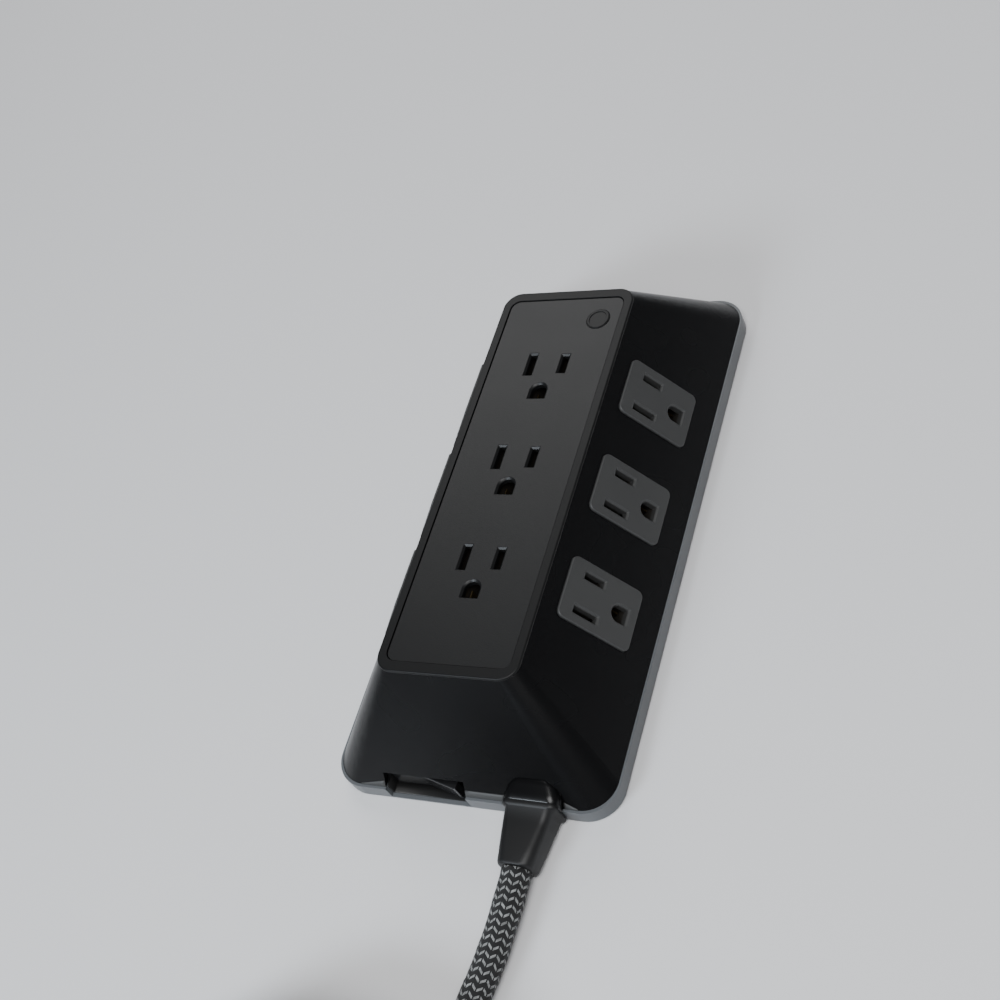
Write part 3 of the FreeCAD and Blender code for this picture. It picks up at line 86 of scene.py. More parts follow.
class Finish:
    """A procedural material, built up one effect at a time. Colours are linear."""

    def __init__(self, name, colour, roughness, **sockets):
        self.material = bpy.data.materials.new(name)
        self.material.use_nodes = True
        self.nodes = self.material.node_tree.nodes
        self.links = self.material.node_tree.links
        self.shader = self.nodes["Principled BSDF"]
        self.colour = colour
        self.roughness = roughness
        self.shader.inputs["Base Color"].default_value = (*colour, 1.0)
        self.shader.inputs["Roughness"].default_value = roughness
        for socket, value in sockets.items():
            self.shader.inputs[socket.replace("_", " ")].default_value = value
        self.place = self.nodes.new("ShaderNodeTexCoord").outputs["Object"]

    def noise(self, size, detail=3.0, stretch=None):
        """Cloudy noise whose patches are about that size, in metres."""
        texture = self.nodes.new("ShaderNodeTexNoise")
        texture.inputs["Scale"].default_value = 1.0 / size
        texture.inputs["Detail"].default_value = detail
        source = self.place
        if stretch is not None:
            mapping = self.nodes.new("ShaderNodeMapping")
            mapping.inputs["Scale"].default_value = stretch
            self.links.new(source, mapping.inputs["Vector"])
            source = mapping.outputs["Vector"]
        self.links.new(source, texture.inputs["Vector"])
        return texture.outputs["Fac"]

    def spread(self, factor, low, high, from_low=0.3, from_high=0.7):
        """The factor stretched from its usual span to another one."""
        ranged = self.nodes.new("ShaderNodeMapRange")
        ranged.inputs["From Min"].default_value = from_low
        ranged.inputs["From Max"].default_value = from_high
        ranged.inputs["To Min"].default_value = low
        ranged.inputs["To Max"].default_value = high
        self.links.new(factor, ranged.inputs["Value"])
        return ranged.outputs["Result"]

    def mixed(self, factor, first, second):
        """Between two colours."""
        mix = self.nodes.new("ShaderNodeMix")
        mix.data_type = "RGBA"
        mix.inputs[MIX_FIRST].default_value = (*first, 1.0)
        mix.inputs[MIX_SECOND].default_value = (*second, 1.0)
        self.links.new(factor, mix.inputs[MIX_FACTOR])
        return mix.outputs[MIX_RESULT]

    def vary_colour(self, factor, share):
        """From that share darker than the finish's colour to that share lighter."""
        darker = [part * (1 - share) for part in self.colour]
        lighter = [part * (1 + share) for part in self.colour]
        self.links.new(self.mixed(factor, darker, lighter), self.shader.inputs["Base Color"])
        return self

    def vary_roughness(self, factor, change):
        """From that much smoother than the finish's roughness to that much rougher."""
        ranged = self.spread(factor, self.roughness - change, self.roughness + change, 0.0, 1.0)
        self.links.new(ranged, self.shader.inputs["Roughness"])
        return self

    def bump(self, height, depth, strength=1.0):
        """Relief of that depth, in metres."""
        bump = self.nodes.new("ShaderNodeBump")
        bump.inputs["Distance"].default_value = depth
        bump.inputs["Strength"].default_value = strength
        self.links.new(height, bump.inputs["Height"])
        self.links.new(bump.outputs["Normal"], self.shader.inputs["Normal"])
        return self

    def maths(self, operation, first, second=None):
        """One sum, in which each value is a socket or a number."""
        node = self.nodes.new("ShaderNodeMath")
        node.operation = operation
        for index, value in enumerate((first, second)):
            if isinstance(value, bpy.types.NodeSocket):
                self.links.new(value, node.inputs[index])
            elif value is not None:
                node.inputs[index].default_value = value
        return node.outputs[0]


def plastic(name, colour, roughness, grain, depth, **sockets):
    """Moulded plastic: a fine grain, faint cloudiness and slightly uneven gloss."""
    finish = Finish(name, colour, roughness, **sockets)
    clouds = finish.spread(finish.noise(size=0.03), low=0.0, high=1.0)
    finish.vary_colour(clouds, share=0.06)
    finish.vary_roughness(finish.noise(size=0.02, detail=1.0), change=0.02)
    finish.bump(finish.noise(size=grain, detail=2.0), depth)
    return finish


def metal(name, colour, roughness, stretch):
    """Rolled or drawn metal with fine marks along one direction."""
    finish = Finish(name, colour, roughness, Metallic=1.0)
    finish.vary_colour(finish.noise(size=0.01), share=0.12)
    finish.vary_roughness(finish.noise(size=0.002, detail=4.0, stretch=stretch), change=0.10)
    finish.bump(finish.noise(size=0.001, detail=2.0, stretch=stretch), depth=0.00001)
    return finish


def make_materials():
    """One material for each of the record's slots, and two more for pieces that differ from their slot."""
    made = {}
    made["cover"] = plastic("cover_black", (0.0032, 0.0032, 0.0035), 0.27, 0.0009, 0.000004,
                            Specular_IOR_Level=0.32)
    made["matte_grey"] = plastic("matte_grey", (0.0055, 0.0057, 0.0060), 0.42, 0.00035, 0.000025,
                                 Specular_IOR_Level=0.35)
    made["rim_grey"] = plastic("rim_grey", (0.0045, 0.0046, 0.0048), 0.46, 0.00035, 0.000020,
                               Specular_IOR_Level=0.25)
    made["plate_grey"] = plastic("plate_grey", (0.042, 0.043, 0.043), 0.50, 0.00035, 0.000030)
    made["badge"] = plastic("badge_black", (0.004, 0.004, 0.0042), 0.46, 0.0006, 0.000008,
                            Specular_IOR_Level=0.3)
    made["base"] = plastic("base_grey", (0.100, 0.107, 0.114), 0.34, 0.0005, 0.000010,
                           Specular_IOR_Level=0.3)
    made["rocker"] = plastic("rocker_black", (0.008, 0.008, 0.0085), 0.22, 0.0006, 0.000006,
                             Coat_Weight=0.3)
    made["switch_case"] = plastic("switch_case", (0.010, 0.010, 0.010), 0.45, 0.0004, 0.000015)
    made["insulator"] = plastic("insulator", (0.026, 0.023, 0.020), 0.45, 0.0006, 0.000012)
    # the brass colour is darkened as painted shade, for contacts that lie deep in the socket holes
    made["contact_brass"] = metal("contact_brass", (0.22, 0.165, 0.085), 0.42, (1.0, 0.1, 1.0))
    made["plated_steel"] = metal("plated_steel", (0.60, 0.60, 0.61), 0.30, (1.0, 1.0, 0.1))
    made["blade"] = metal("blade_nickel", (0.74, 0.71, 0.64), 0.22, (1.0, 1.0, 0.08))
    made["copper"] = metal("copper_wire", (0.72, 0.33, 0.16), 0.25, (1.0, 0.1, 1.0))
    made["varistor"] = plastic("varistor_blue", (0.04, 0.15, 0.46), 0.28, 0.0015, 0.000030,
                               Coat_Weight=0.5)
    made["fuse"] = plastic("fuse_ceramic", (0.66, 0.62, 0.54), 0.6, 0.0005, 0.000020)
    made["capacitor"] = plastic("capacitor_yellow", (0.68, 0.53, 0.07), 0.30, 0.0010, 0.000010)
    made["ferrite"] = plastic("ferrite", (0.045, 0.045, 0.048), 0.65, 0.0004, 0.000040)
    made["wire_black"] = plastic("wire_black", (0.014, 0.014, 0.015), 0.35, 0.0010, 0.000010)
    made["wire_white"] = plastic("wire_white", (0.74, 0.74, 0.71), 0.35, 0.0010, 0.000010)
    made["wire_green"] = plastic("wire_green", (0.03, 0.24, 0.07), 0.35, 0.0010, 0.000010)
    made["relief"] = plastic("relief_rubber", (0.006, 0.006, 0.0063), 0.50, 0.0005, 0.000030,
                             Specular_IOR_Level=0.4)
    made["plug"] = plastic("plug_black", (0.014, 0.015, 0.017), 0.42, 0.0004, 0.000025)
    made["board"] = board_finish()
    made["plug_cap"] = slate_finish()
    made["braid"] = braid_finish()
    made["tie"] = strap_finish()
    return {slot: finish.material for slot, finish in made.items()}


TRACKS_IN_A_METRE = 160.0


def board_finish():
    """Green solder mask over copper tracks."""
    finish = Finish("board_green", (0.02, 0.16, 0.06), 0.30, Coat_Weight=0.4)
    tracks = finish.nodes.new("ShaderNodeTexBrick")
    tracks.inputs["Scale"].default_value = TRACKS_IN_A_METRE
    tracks.inputs["Mortar Size"].default_value = 0.06
    tracks.inputs["Color1"].default_value = (0.02, 0.15, 0.055, 1.0)
    tracks.inputs["Color2"].default_value = (0.025, 0.19, 0.07, 1.0)
    tracks.inputs["Mortar"].default_value = (0.05, 0.28, 0.11, 1.0)
    finish.links.new(finish.place, tracks.inputs["Vector"])
    finish.links.new(tracks.outputs["Color"], finish.shader.inputs["Base Color"])
    return finish.bump(tracks.outputs["Fac"], depth=0.00003)


SLATE_DARK = (0.075, 0.085, 0.11)
SLATE_LIGHT = (0.21, 0.225, 0.26)


def slate_finish():
    """Slate blue-grey, mottled and finely pebbled."""
    finish = Finish("plug_slate", (0.13, 0.145, 0.175), 0.5)
    patches = finish.noise(size=0.005, detail=5.0)
    mottle = finish.spread(patches, low=0.0, high=1.0, from_low=0.35, from_high=0.65)
    colour = finish.mixed(mottle, SLATE_DARK, SLATE_LIGHT)
    finish.links.new(colour, finish.shader.inputs["Base Color"])
    return finish.bump(finish.noise(size=0.0007, detail=3.0), depth=0.00006)


# The braid's strands zigzag round the cord in rows. The cord's mesh carries, as its UV map, the
# share of the way round the cord and the number of rows along it.
BRAID_ZIGZAGS = 8
BRAID_ROW = 0.0025
BRAID_RISE = 0.62                # how far a strand rises from side to side of a zigzag, in rows
BRAID_THREADS = 8                # threads in a row
BRAID_PALE = (0.36, 0.37, 0.37)
PALE_ROW = 0.25                  # where in its row the pale yarn lies
PALE_ROW_HALF = 0.175
PALE_SIDE_HALF = 0.38            # how far it reaches from a zigzag's middle; it dips under at the turns


def near_value(finish, value, middle, half):
    """One where the value is within that much of the middle, and zero elsewhere."""
    away = finish.maths("ABSOLUTE", finish.maths("SUBTRACT", value, middle))
    return finish.maths("LESS_THAN", away, half)


def braid_finish():
    """Black yarn with pale chevrons, and fine threads along each strand."""
    finish = Finish("cord_braid", (0.006, 0.006, 0.0065), 0.8, Sheen_Weight=0.04, Sheen_Roughness=0.5)
    split = finish.nodes.new("ShaderNodeSeparateXYZ")
    finish.links.new(finish.nodes.new("ShaderNodeUVMap").outputs["UV"], split.inputs["Vector"])
    across = finish.maths("FRACT", finish.maths("MULTIPLY", split.outputs["X"], float(BRAID_ZIGZAGS)))
    doubled = finish.maths("MULTIPLY", across, 2.0)
    side = finish.maths("ABSOLUTE", finish.maths("SUBTRACT", doubled, 1.0))
    slanted = finish.maths("ADD", split.outputs["Y"], finish.maths("MULTIPLY", side, BRAID_RISE))
    in_strand = near_value(finish, finish.maths("FRACT", slanted), PALE_ROW, PALE_ROW_HALF)
    off_turn = near_value(finish, side, 0.5, PALE_SIDE_HALF)
    pale = finish.maths("MULTIPLY", in_strand, off_turn)
    uneven = finish.spread(finish.noise(size=0.0011, detail=3.0), low=0.35, high=1.0)
    fleck = finish.maths("MULTIPLY", pale, uneven)
    colour = finish.mixed(fleck, finish.colour, BRAID_PALE)
    finish.links.new(colour, finish.shader.inputs["Base Color"])
    threads = finish.maths("SINE", finish.maths("MULTIPLY", slanted, BRAID_THREADS * 2 * math.pi))
    return finish.bump(threads, depth=0.00006, strength=0.6)


def strap_finish():
    """Black hook-and-loop strap with a soft pile."""
    finish = Finish("strap_pile", (0.009, 0.009, 0.010), 0.9, Sheen_Weight=0.1, Sheen_Roughness=0.5)
    finish.vary_colour(finish.noise(size=0.0008, detail=4.0), share=0.5)
    return finish.bump(finish.noise(size=0.0005, detail=4.0), depth=0.00025)


# ---- meshes ---------------------------------------------------------------------------------

def new_piece(name, mesh, slot, finish=None):
    """A piece on the housing's body, in its slot's own finish unless another is named."""
    piece = bpy.data.objects.new(name, mesh)
    bpy.context.scene.collection.objects.link(piece)
    mesh.materials.append(materials[finish or slot])
    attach(piece, "root")
    return piece


def lofted(name, rings, closed_ends=True):
    """A smooth skin through rings that all have the same number of points."""
    solid = bmesh.new()
    loops = [[solid.verts.new(point) for point in ring] for ring in rings]
    count = len(rings[0])
    for lower, upper in zip(loops, loops[1:]):
        for index in range(count):
            following = (index + 1) % count
            solid.faces.new((lower[index], lower[following], upper[following], upper[index]))
    if closed_ends:
        solid.faces.new(list(reversed(loops[0])))
        solid.faces.new(loops[-1])
    bmesh.ops.recalc_face_normals(solid, faces=solid.faces)
    for face in solid.faces:
        face.smooth = True
    mesh = bpy.data.meshes.new(name)
    solid.to_mesh(mesh)
    solid.free()
    return mesh


CORNER_STEPS = 7


def rounded_ring(width, height, radius, steps=CORNER_STEPS):
    """Points round a rectangle with round corners, in its own plane, as pairs."""
    points = []
    for quarter, (side, rise) in enumerate(((1, 1), (-1, 1), (-1, -1), (1, -1))):
        centre_u = side * (width / 2 - radius)
        centre_v = rise * (height / 2 - radius)
        for step in range(steps + 1):
            angle = math.radians(90 * (quarter + step / steps))
            points.append((centre_u + radius * math.cos(angle), centre_v + radius * math.sin(angle)))
    return points


def rings_along(start, heading, sections):
    """Upright rounded rectangles along a level heading: distance, width, height, radius and level, in mm."""
    across = heading.cross(Vector((0, 0, 1)))
    rings = []
    for distance, width, height, radius, level in sections:
        centre = start + heading * distance * MM
        centre.z = level * MM
        ring = [centre + across * u * MM + Vector((0, 0, v * MM))
                for u, v in rounded_ring(width, height, radius)]
        rings.append(ring)
    return rings


WELD_DISTANCE = 0.000002
FLAT_ANGLE = math.radians(0.5)
SHARP_ANGLE = math.radians(20.0)
EDGE_SEGMENTS = 3


def soften(piece, width):
    """Round a piece's sharp edges a little, as moulded edges are."""
    weld = piece.modifiers.new("weld", "WELD")
    weld.merge_threshold = WELD_DISTANCE
    flat = piece.modifiers.new("flat", "DECIMATE")
    flat.decimate_type = "DISSOLVE"
    flat.angle_limit = FLAT_ANGLE
    bevel = piece.modifiers.new("bevel", "BEVEL")
    bevel.width = width * MM
    bevel.segments = EDGE_SEGMENTS
    bevel.limit_method = "ANGLE"
    bevel.angle_limit = SHARP_ANGLE
    bevel.use_clamp_overlap = True
    bevel.harden_normals = False
    normals = piece.modifiers.new("normals", "WEIGHTED_NORMAL")
    normals.keep_sharp = True


# ---- cord -----------------------------------------------------------------------------------

# The cord's length is in metres, and its other sizes and places are in mm. It leaves the housing,
# winds into the stored coil, and runs down from the top of that to the plug.
CORD_DIAMETER = 9.5
CORD_EXIT = (25.0, -124.0, 6.3)
CORD_RUN = [CORD_EXIT, (25.2, -147.0, 5.2), (20.5, -174.0, 4.8), (25.0, -200.0, 4.9),
            (32.5, -223.5, 5.4)]
CORD_TAIL = [(17.7, -193.8, 24.0), (30.5, -205.7, 19.5), (39.2, -220.9, 13.5), (43.6, -237.5, 8.8),
             (45.2, -251.0, 7.0)]
COIL_CENTRE = (-22.0, -246.5)
COIL_COLUMNS = (57.0, 47.5, 38.0)
COIL_LAYERS = (5.65, 15.15, 23.4)
COIL_TURNS = 6.82
COIL_STEPS = 16                  # control points in each turn
SHIFT_SHARE = 0.4                # share of a turn in which the cord moves to the next column or layer
SHIFT_START = 0.57               # where each turn starts to do so
CLIMB_LEAD = 0.12                # how much sooner it climbs into the groove between the two outer columns
LEAVE_LEAD = 0.12                # how much sooner the last turn swings out over the one below
TUCK = 2.0                       # how far in the turn that climbs lies, clear of the one beside it
TUCK_SHARE = 0.5                 # share of a turn in which it moves that far
UNTUCK_LEAD = 0.6                # how much sooner it starts back, before it moves to the next column
SWING = 9.5                      # how far the last turn swings out
LIFT_LEAD = 0.3                  # how much sooner it rises to clear the one below
LIFT = 2.4                       # and how far


def eased(share):
    """Zero to one, starting and stopping gently."""
    share = min(max(share, 0.0), 1.0)
    return share * share * (3 - 2 * share)


def moved(turn, start, change):
    """A change that the cord makes over the share of a turn that follows the start."""
    return eased((turn - start) / SHIFT_SHARE) * change


def coil_place(turn):
    """Radius and height of the cord after so many turns: inwards on the floor, outwards on top of
    that, and then once round in the groove between the two outer columns."""
    outer, middle, inner = COIL_COLUMNS
    floor, upper, top = COIL_LAYERS
    to_middle, to_inner, rise, back_to_middle, back_to_outer, climb, leave = [
        SHIFT_START + count for count in range(7)]
    radius = outer - moved(turn, to_middle, outer - middle) - moved(turn, to_inner, middle - inner)
    radius += moved(turn, back_to_middle, middle - inner) + moved(turn, back_to_outer, outer - middle)
    radius -= moved(turn, climb - CLIMB_LEAD, (outer - middle) / 2)
    radius += moved(turn, leave - LEAVE_LEAD, SWING)
    tucked = eased((turn - rise + TUCK_SHARE) / TUCK_SHARE)
    untucked = eased((turn - back_to_middle + UNTUCK_LEAD) / TUCK_SHARE)
    radius -= TUCK * (tucked - untucked)
    level = floor + moved(turn, rise, upper - floor) + moved(turn, climb - CLIMB_LEAD, top - upper)
    level += moved(turn, leave - LIFT_LEAD, LIFT)
    return radius, level


def coil_points():
    """Control points of the turns, clockwise from the coil's right side."""
    # the smooth line passes this share of the way out to its control points
    corner_share = 0.75 + 0.25 * math.cos(2 * math.pi / COIL_STEPS)
    centre_x, centre_y = COIL_CENTRE
    points = []
    for index in range(int(COIL_TURNS * COIL_STEPS) + 1):
        turn = index / COIL_STEPS
        radius, level = coil_place(turn)
        angle = -2 * math.pi * turn
        out = radius / corner_share
        points.append((centre_x + out * math.cos(angle), centre_y + out * math.sin(angle), level))
    return points


def sampled_route(control_points, resolution):
    """Points along the smooth line that the control points shape."""
    curve = bpy.data.curves.new("route", "CURVE")
    curve.dimensions = "3D"
    curve.resolution_u = resolution
    spline = curve.splines.new("NURBS")
    spline.points.add(len(control_points) - 1)
    for point, place in zip(spline.points, control_points):
        point.co = (*mm(*place), 1.0)
    spline.order_u = 3
    spline.use_endpoint_u = True
    holder = bpy.data.objects.new("route", curve)
    mesh = bpy.data.meshes.new_from_object(holder)
    points = [vertex.co.copy() for vertex in mesh.vertices]
    bpy.data.objects.remove(holder)
    bpy.data.meshes.remove(mesh)
    bpy.data.curves.remove(curve)
    return points


BRAID_RELIEF = 0.00018           # how far strands stand out from the cord's radius, and gaps lie in
STRAND_EDGE = 0.6                # how high a strand is at a zigzag's turns, where its middle is 1


def braided_tube(name, route, radius, around):
    """A tube along the route whose skin rises over each strand of the braid and dips between strands."""
    mesh = bpy.data.meshes.new(name)
    verts = []
    rows = []
    side = Vector((1, 0, 0))
    travelled = 0.0
    for index, place in enumerate(route):
        before = route[max(index - 1, 0)]
        after = route[min(index + 1, len(route) - 1)]
        heading = (after - before).normalized()
        side = (side - heading * side.dot(heading)).normalized()
        up = heading.cross(side)
        if index:
            travelled += (place - before).length
        along = travelled / BRAID_ROW
        rows.append(along)
        for step in range(around):
            share = step / around
            zigzag = abs(2 * (share * BRAID_ZIGZAGS % 1.0) - 1)
            strand = abs(math.sin(2 * math.pi * (along + zigzag * BRAID_RISE)))
            bulge = strand * (STRAND_EDGE + (1 - STRAND_EDGE) * math.sin(math.pi * zigzag))
            reach = radius - BRAID_RELIEF + 2 * BRAID_RELIEF * bulge
            angle = 2 * math.pi * share
            verts.append(place + (side * math.cos(angle) + up * math.sin(angle)) * reach)
    faces = []
    for ring in range(len(route) - 1):
        for step in range(around):
            following = (step + 1) % around
            faces.append((ring * around + step, ring * around + following,
                          (ring + 1) * around + following, (ring + 1) * around + step))
    last = (len(route) - 1) * around
    ends = [tuple(reversed(range(around))), tuple(range(last, last + around))]
    mesh.from_pydata([tuple(vertex) for vertex in verts], [], faces + ends)
    mesh.polygons.foreach_set("use_smooth", [True] * len(mesh.polygons))
    layer = mesh.uv_layers.new(name="braid")
    for face_index, polygon in enumerate(mesh.polygons):
        is_end = face_index >= len(faces)
        for corner, loop in enumerate(polygon.loop_indices):
            ring, step = divmod(polygon.vertices[corner], around)
            wraps = not is_end and face_index % around == around - 1 and step == 0
            layer.data[loop].uv = ((step + (around if wraps else 0)) / around, rows[ring])
    mesh.update()
    return mesh


def make_cord():
    """The whole cord as one braided tube, and the line that it follows."""
    resolution, around = ((30, 48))
    route = sampled_route(CORD_RUN + coil_points() + CORD_TAIL, resolution)
    mesh = braided_tube("braided_cord", route, CORD_DIAMETER / 2 * MM, around)
    cord = new_piece("braided_cord", mesh, "braid")
    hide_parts("cord_run", "cord_coil", "cord_tail")
    return cord, route


# The strap, in mm: where it crosses the coil, its line's corners, out from the coil's centre and
# up, and its section, across it and out from the line, crowned a little and thin at both edges.
STRAP_ANGLE = math.radians(250.0)
STRAP_CORNERS = [(32.8, 0.45), (62.2, 0.45), (62.2, 19.2), (57.0, 28.6), (47.5, 28.6), (32.8, 20.0)]
STRAP_ROUNDING = 3.4
STRAP_CORNER_STEPS = 6
STRAP_HALF = 7.0
STRAP_THICK = 0.45
STRAP_CROWN = STRAP_THICK * 1.1
STRAP_INSET = STRAP_HALF - 0.2
STRAP_SECTION = [(-STRAP_HALF, 0.0), (-STRAP_INSET, STRAP_THICK), (-STRAP_HALF / 2, STRAP_CROWN),
                 (STRAP_HALF / 2, STRAP_CROWN), (STRAP_INSET, STRAP_THICK), (STRAP_HALF, 0.0),
                 (STRAP_INSET, -STRAP_THICK), (-STRAP_INSET, -STRAP_THICK)]
LAP_LIFT = 0.85                  # how far the lapped end lies above the strap


def strap_outline():
    """The strap's line round the turns: out from the coil's centre, and up, with its corners rounded."""
    points = []
    corners = [Vector(corner) for corner in STRAP_CORNERS]
    for index, corner in enumerate(corners):
        arriving = (corner - corners[index - 1]).normalized()
        leaving = (corners[(index + 1) % len(corners)] - corner).normalized()
        start = corner - arriving * STRAP_ROUNDING
        end = corner + leaving * STRAP_ROUNDING
        for step in range(STRAP_CORNER_STEPS + 1):
            share = step / STRAP_CORNER_STEPS
            points.append(start * (1 - share) ** 2 + corner * 2 * share * (1 - share) + end * share ** 2)
    return points


def make_strap():
    """The strap that ties the coil: a band round all its turns, with its end lapped over the top."""
    out = Vector((math.cos(STRAP_ANGLE), math.sin(STRAP_ANGLE), 0))
    along = Vector((-math.sin(STRAP_ANGLE), math.cos(STRAP_ANGLE), 0))
    centre = mm(*COIL_CENTRE, 0)
    outline = strap_outline()
    middle = Vector((COIL_COLUMNS[1], COIL_LAYERS[1]))

    def band(first, last, lift):
        """The strap's sections at part of its outline, raised by the lift."""
        rings = []
        for place in outline[first:last]:
            away = (place - middle).normalized()
            ring = []
            for offset, skin in STRAP_SECTION:
                reach = place + away * (skin + lift)
                ring.append(centre + out * reach.x * MM + Vector((0, 0, reach.y * MM)) + along * offset * MM)
            rings.append(ring)
        return rings

    around = band(0, len(outline), 0.0)
    strap = new_piece("coil_strap", lofted("coil_strap", around + [around[0]], False), "tie")
    lapped = band(len(outline) // 2, len(outline) * 7 // 8, LAP_LIFT)
    lap = new_piece("coil_strap_lap", lofted("coil_strap_lap", lapped), "tie")
    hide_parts("cord_tie")
    return strap, lap


# The two tapered mouldings, each as its sections along the cord, in mm: distance from its root,
# width, height, corner radius and level of the centre.
RELIEF_ROOT = (25.0, -93.8, 0)
RELIEF_SECTIONS = [
    (0.0, 18.8, 9.2, 1.0, 7.3), (0.3, 19.4, 9.8, 1.2, 7.3), (1.1, 19.4, 9.8, 1.2, 7.3),
    (1.4, 16.9, 10.6, 1.4, 6.6), (9.2, 16.9, 10.7, 1.4, 6.5), (9.5, 18.4, 11.7, 2.2, 6.5),
    (9.8, 18.9, 12.1, 2.4, 6.5), (11.1, 18.9, 12.1, 2.4, 6.5), (11.5, 18.2, 11.6, 2.5, 6.45),
    (11.8, 16.6, 11.2, 2.6, 6.4), (17.0, 15.4, 11.1, 2.8, 6.35), (24.0, 13.6, 11.0, 3.2, 6.3),
    (29.2, 12.2, 10.9, 3.6, 6.3), (29.9, 11.7, 10.6, 3.8, 6.3), (30.2, 10.8, 10.2, 4.2, 6.3),
]
PLUG_RELIEF_ROOT = (45.0, -294.1, 0)
PLUG_RELIEF_SECTIONS = [
    (16.0, 15.0, 10.2, 2.0, 7.0), (21.5, 14.8, 10.3, 2.2, 7.0), (24.0, 14.4, 10.4, 2.4, 7.0),
    (30.0, 13.6, 10.5, 2.6, 7.0), (37.0, 12.4, 10.6, 3.0, 7.0), (42.2, 11.5, 10.6, 3.6, 7.0),
    (42.8, 11.2, 10.4, 3.9, 7.0), (43.1, 10.5, 10.0, 4.2, 7.0),
]


def make_reliefs():
    """The two tapered mouldings that the cord leaves the housing and the plug through."""
    rings = rings_along(mm(*RELIEF_ROOT), Vector((0, -1, 0)), RELIEF_SECTIONS)
    housing_relief = new_piece("cord_boot", lofted("cord_boot", rings), "relief")
    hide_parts("strain_relief")
    rings = rings_along(mm(*PLUG_RELIEF_ROOT), Vector((0, 1, 0)), PLUG_RELIEF_SECTIONS)
    plug_relief = new_piece("plug_boot", lofted("plug_boot", rings), "relief")
    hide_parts("plug_strain_relief")
    return housing_relief, plug_relief


# The hood's sections, in mm: distance in from its front, half width, top and corner radius.
HOOD_SECTIONS = [(0.0, 9.5, 12.3, 3.4), (0.5, 9.9, 12.8, 3.8), (2.5, 9.9, 13.3, 4.0),
                 (5.0, 9.2, 14.0, 4.4), (8.0, 7.6, 15.0, 4.6)]
HOOD_SIDE = 25.0                 # where its middle is, along X
HOOD_FRONT = -104.0              # and its front, along Y
HOOD_LOW = 7.0                   # the level of its lower edge at the front
HOOD_RISE = 0.9                  # and how fast that rises with the slope
HOOD_CORNER_STEPS = 8


def make_hood():
    """The low hump in the cover's near slope, over the cord's moulding."""
    rings = []
    for distance, half_width, top, radius in HOOD_SECTIONS:
        y = HOOD_FRONT + distance
        low = HOOD_LOW + distance * HOOD_RISE
        ring = [mm(HOOD_SIDE + half_width, y, low)]
        for u, v in rounded_ring(2 * half_width, 2 * radius, radius, HOOD_CORNER_STEPS):
            if v > 0:
                ring.append(mm(HOOD_SIDE + u, y, top - radius + v))
        ring.append(mm(HOOD_SIDE - half_width, y, low))
        rings.append(ring)
    new_piece("cord_hood", lofted("cord_hood", rings), "cover")


# The recess's black lining, a channel on its floor and sides that paints shade over the grey base, in mm.
# Its section is given out from its middle, and up, and its ends along Y. At the last its floor is a little
# thinner.
RECESS_SHADE_SIDE = -15.0
RECESS_SHADE_PROFILE = [(-14.95, 6.2), (-14.95, 1.22), (14.95, 1.22), (14.95, 6.2), (14.6, 6.2), (14.5, 2.1),
                    (14.1, 1.55), (-14.1, 1.55), (-14.5, 2.1), (-14.6, 6.2)]
RECESS_SHADE_ENDS = ((-97.45, 0.0), (-101.9, 0.0), (-102.2, 0.12))
RECESS_SHADE_FLOOR_HALF = 14.2


def make_recess_shade_lining():
    """The black channel that the rocker sits in: painted shade on the recess's floor and sides."""
    rings = []
    for y, thinner in RECESS_SHADE_ENDS:
        ring = []
        for u, z in RECESS_SHADE_PROFILE:
            drop = thinner if abs(u) < RECESS_SHADE_FLOOR_HALF else 0.0
            ring.append(mm(RECESS_SHADE_SIDE + u, y, z - drop))
        rings.append(ring)
    # the black lining paints the shade inside the switch's recess
    new_piece("painted_recess_shade", lofted("painted_recess_shade", rings), "switch_case")


# Pale strips at the foot of the cover's near slope, between it and the base, whose grey is a painted
# reflection
# on the black cover, in three lengths: their two ends along X in mm, and how far they rise at each of them.
# The slope's own directions are up it and out of it, and its foot is given along Y and Z.
REFLECTION_STRIP_LENGTHS = {"near_reflection_strip_left": (-39.6, -30.15, 0.4, 2.0), "near_reflection_strip_middle": (0.15, 14.9, 2.0, 2.0),
               "near_reflection_strip_right": (35.1, 39.6, 2.0, 0.4)}
REFLECTION_STRIP_STEPS = 8
REFLECTION_STRIP_FACE = 0.24                  # how far its face stands out of the slope
REFLECTION_STRIP_ROOT = -0.4                  # and how far its root lies in it
NEAR_SLOPE = Vector((0.0, 0.554, 0.832))
NEAR_SLOPE_OUT = Vector((0.0, -0.832, 0.554))
NEAR_SLOPE_FOOT = (-102.6, 6.5)
ALONG_SLOPE = 1.2                # length up the slope for each length of rise


def make_painted_reflection_strips():
    """Three lengths of pale strip at the foot of the cover's near slope: a painted reflection on the black
    cover.
    """
    for name, (first, last, first_tall, last_tall) in REFLECTION_STRIP_LENGTHS.items():
        rings = []
        for step in range(REFLECTION_STRIP_STEPS + 1):
            share = step / REFLECTION_STRIP_STEPS
            tall = (first_tall + (last_tall - first_tall) * share) * ALONG_SLOPE
            foot = mm(first + (last - first) * share, *NEAR_SLOPE_FOOT)
            profile = [(0.0, REFLECTION_STRIP_ROOT), (0.0, 0.14), (0.08, REFLECTION_STRIP_FACE), (tall - 0.2, REFLECTION_STRIP_FACE),
                       (tall, REFLECTION_STRIP_FACE / 2), (tall, REFLECTION_STRIP_ROOT)]
            rings.append([foot + (NEAR_SLOPE * up + NEAR_SLOPE_OUT * out) * MM for up, out in profile])
        # the plates' lighter grey paints the reflection along the black cover's foot
        new_piece(name, lofted(name, rings), "matte_grey", "plate_grey")


# ---- the CAD's own pieces -------------------------------------------------------------------

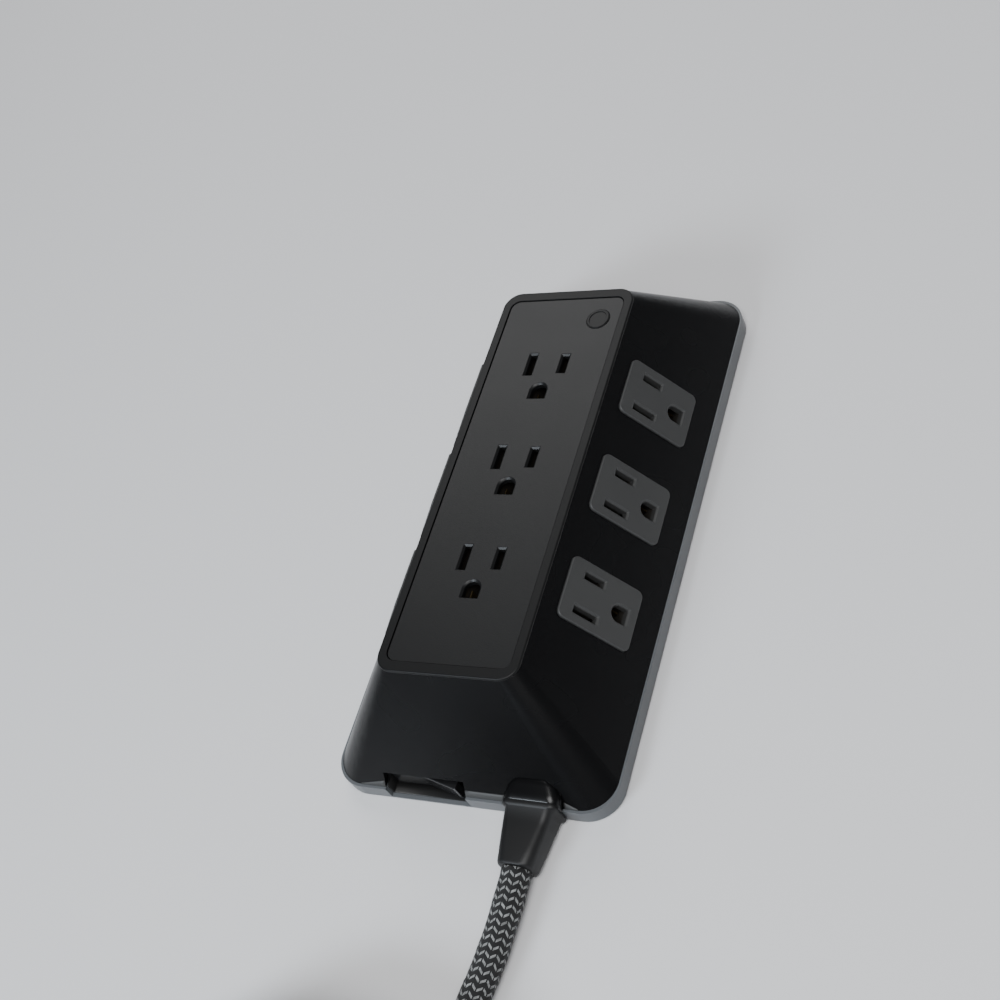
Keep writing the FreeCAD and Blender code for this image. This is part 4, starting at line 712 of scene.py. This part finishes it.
# How wide the rounding of each moulded piece's edges is, in mm.
PLATE_EDGE = 0.2
SOFT_EDGES = {
    "cover_housing": 0.5, "base_housing": 0.35, "top_panel": 0.12, "panel_badge": 0.1,
    "switch_body": 0.2, "switch_rocker": 0.25, "plug_body": 0.3, "plug_face_cap": 0.3,
}


def dress_nodes():
    """Finishes and soft edges for the CAD's pieces. The plates and the rim differ from the panel."""
    slots = {row["node"]: row["material_slot"] for row in frame["record"]["subparts"]}
    for name, node in frame["nodes"].items():
        finish = slots[name]
        edge = SOFT_EDGES.get(name)
        if "outlet_plate" in name:
            finish = "plate_grey"
            edge = PLATE_EDGE
        if name == "top_bezel":
            finish = "rim_grey"
        node.data.materials.clear()
        node.data.materials.append(materials[finish])
        if edge is not None:
            soften(node, edge)


# ---- stage ----------------------------------------------------------------------------------

FLOOR_REACH = 4.0
FLOOR_LEVEL = -0.0002
WHITE = (1.0, 1.0, 1.0)
COOL_WHITE = (0.84, 0.92, 1.0)
SKY_COLOUR = (0.9, 0.93, 1.0)
SKY_STRENGTH = 0.12


def make_floor():
    """A plain pale floor, just below the pieces that lie on it."""
    solid = bmesh.new()
    bmesh.ops.create_grid(solid, x_segments=8, y_segments=8, size=FLOOR_REACH)
    mesh = bpy.data.meshes.new("floor")
    solid.to_mesh(mesh)
    solid.free()
    floor = bpy.data.objects.new("floor", mesh)
    floor.location.z = FLOOR_LEVEL
    bpy.context.scene.collection.objects.link(floor)
    finish = Finish("floor_paper", (0.72, 0.72, 0.73), 0.7)
    finish.vary_colour(finish.noise(size=0.4), share=0.015)
    mesh.materials.append(finish.material)


def soft_light(name, place, target, size, power, colour=WHITE):
    """A rectangular light, aimed at a target."""
    data = bpy.data.lights.new(name, "AREA")
    data.shape = "RECTANGLE"
    data.size, data.size_y = size
    data.energy = power
    data.color = colour
    light = bpy.data.objects.new(name, data)
    light.location = place
    light.rotation_mode = "QUATERNION"
    light.rotation_quaternion = (Vector(target) - Vector(place)).to_track_quat("-Z", "Y")
    bpy.context.scene.collection.objects.link(light)


def make_lights():
    """A key from above the right, and weaker lights that the panel, the rim and the near end mirror."""
    soft_light("key", (0.38, -0.52, 1.15), (0, 0, 0.02), (0.7, 0.7), 15.0)
    soft_light("far", (-0.45, 0.85, 0.75), (0, 0.05, 0.03), (0.9, 0.4), 4.5)
    soft_light("edge", (-0.13, 0.65, 1.10), (0, 0.0, 0.03), (0.5, 0.12), 1.0)
    soft_light("near_left", (-0.45, -0.98, 0.70), (0, -0.05, 0.02), (0.45, 0.30), 11.0, COOL_WHITE)
    world = bpy.data.worlds.new("studio")
    world.use_nodes = True
    background = world.node_tree.nodes["Background"]
    background.inputs["Color"].default_value = (*SKY_COLOUR, 1.0)
    background.inputs["Strength"].default_value = SKY_STRENGTH
    bpy.context.scene.world = world


# ---- put together ---------------------------------------------------------------------------

materials = make_materials()
make_camera()
dress_nodes()
cord, cord_route = make_cord()
strap, strap_lap = make_strap()
cord_boot, plug_boot = make_reliefs()
make_hood()
make_recess_shade_lining()
make_painted_reflection_strips()
make_floor()
make_lights()
